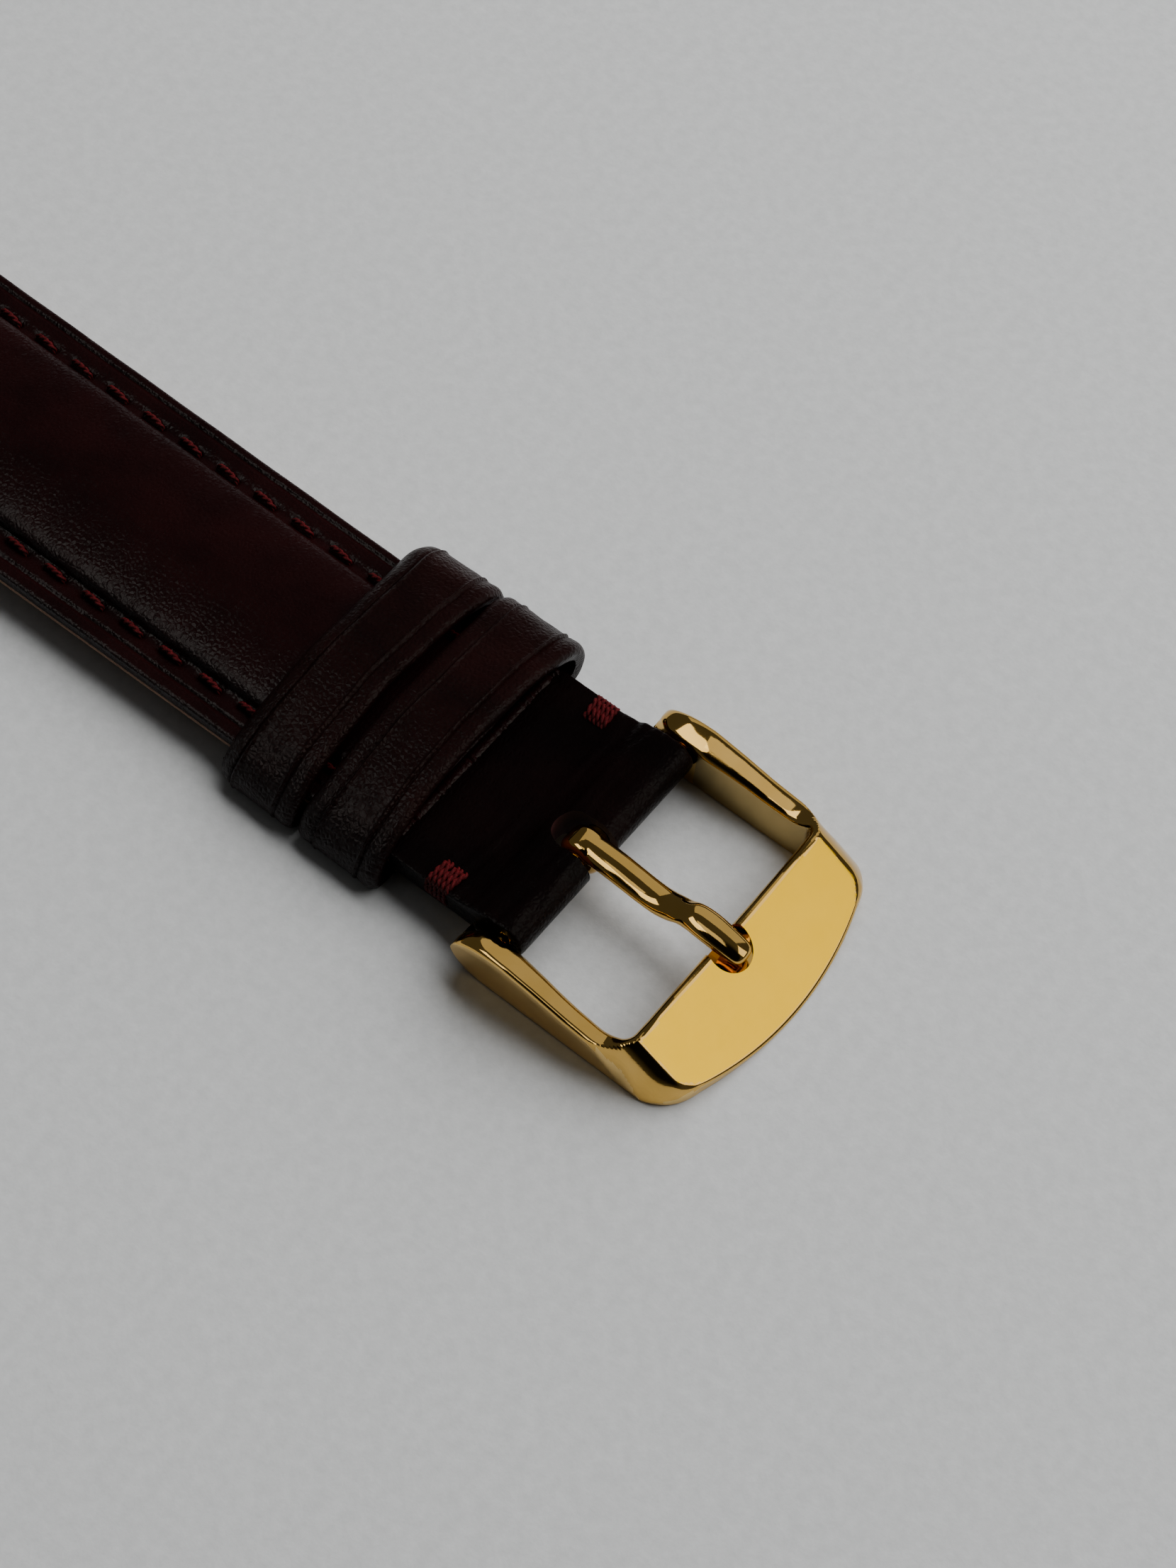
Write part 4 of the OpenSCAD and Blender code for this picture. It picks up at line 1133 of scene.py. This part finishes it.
def room(level=0.07, dark=0.004, dark_side=(0.62, 0.42, 0.66)):
    """Dim grey room, black on the side where the photographer stands."""
    world = bpy.data.worlds.new("room")
    scene.world = world
    world.use_nodes = True
    tree = world.node_tree
    coords = tree.nodes.new("ShaderNodeTexCoord")
    facing = tree.nodes.new("ShaderNodeVectorMath")
    facing.operation = "DOT_PRODUCT"
    facing.inputs[1].default_value = Vector(dark_side).normalized()
    ramp = tree.nodes.new("ShaderNodeValToRGB")
    stops = ramp.color_ramp.elements
    stops[0].position, stops[0].color = 0.70, (level, level, level, 1)
    stops[1].position, stops[1].color = 0.86, (dark, dark, dark, 1)
    tree.links.new(coords.outputs["Generated"], facing.inputs[0])
    tree.links.new(facing.outputs["Value"], ramp.inputs["Fac"])
    tree.links.new(ramp.outputs["Color"], tree.nodes["Background"].inputs["Color"])


def surroundings():
    half = 3000
    floor = make("table", [(-half, -half, 0), (half, -half, 0), (half, half, 0), (-half, half, 0)],
                 [(0, 1, 2, 3)], floor_material("table_paper"))
    room()
    lamp("window", (-0.72, 0.14, 0.6), (1.3, 0.9), 4.75, seen=False, distance=0.8)
    lamp("curtain", (-0.277, 0.76, 0.588), (0.27, 0.42), 1.6, lights=False, color=(1, 0.97, 0.85))
    lamp("ceiling_light", (0.48, -0.32, 0.82), (0.36, 0.26), 2.4, lights=False, color=(1, 0.98, 0.92))
    # two more, mirrored by the gold alone
    polished = bpy.data.collections.new("polished")
    for obj in scene.objects:
        if obj.type == "MESH" and any(m and m.name.startswith("gold") for m in obj.data.materials):
            polished.objects.link(obj)
    for only_gold in (lamp("far_wall", (-0.74, -0.14, 0.62), (0.6, 0.56), 0.5, lights=False),
                      lamp("over_arm", (0.3, 0.05, 0.95), (0.22, 0.18), 0.85, lights=False)):
        only_gold.light_linking.receiver_collection = polished


def photo_camera():
    """The photograph's own camera: its place follows from the strap's edges and the buckle's window."""
    azimuth, elevation, roll = (math.radians(a) for a in (126.4, 60.6, 2.6))
    distance = 0.17979
    data = bpy.data.cameras.new("camera")
    data.lens = 67.84
    data.sensor_width = 36
    data.clip_start = 0.01
    camera = bpy.data.objects.new("camera", data)
    scene.collection.objects.link(camera)
    back = Vector((math.sin(azimuth) * math.cos(elevation), -math.cos(azimuth) * math.cos(elevation),
                   math.sin(elevation)))
    right = Vector((0, 0, 1)).cross(back).normalized()
    up = back.cross(right)
    turned = math.cos(roll) * right + math.sin(roll) * up
    upright = back.cross(turned)
    place = Matrix((turned, upright, back)).transposed().to_4x4()
    target = Vector((-4.195, PIN_Y - 3.485, 0)) * MM
    place.translation = target + back * distance
    camera.matrix_world = place
    scene.camera = camera


buckle_piece()
holed_piece()
loops()
buckle()
dial_track()
cad_finishes()
surroundings()
photo_camera()
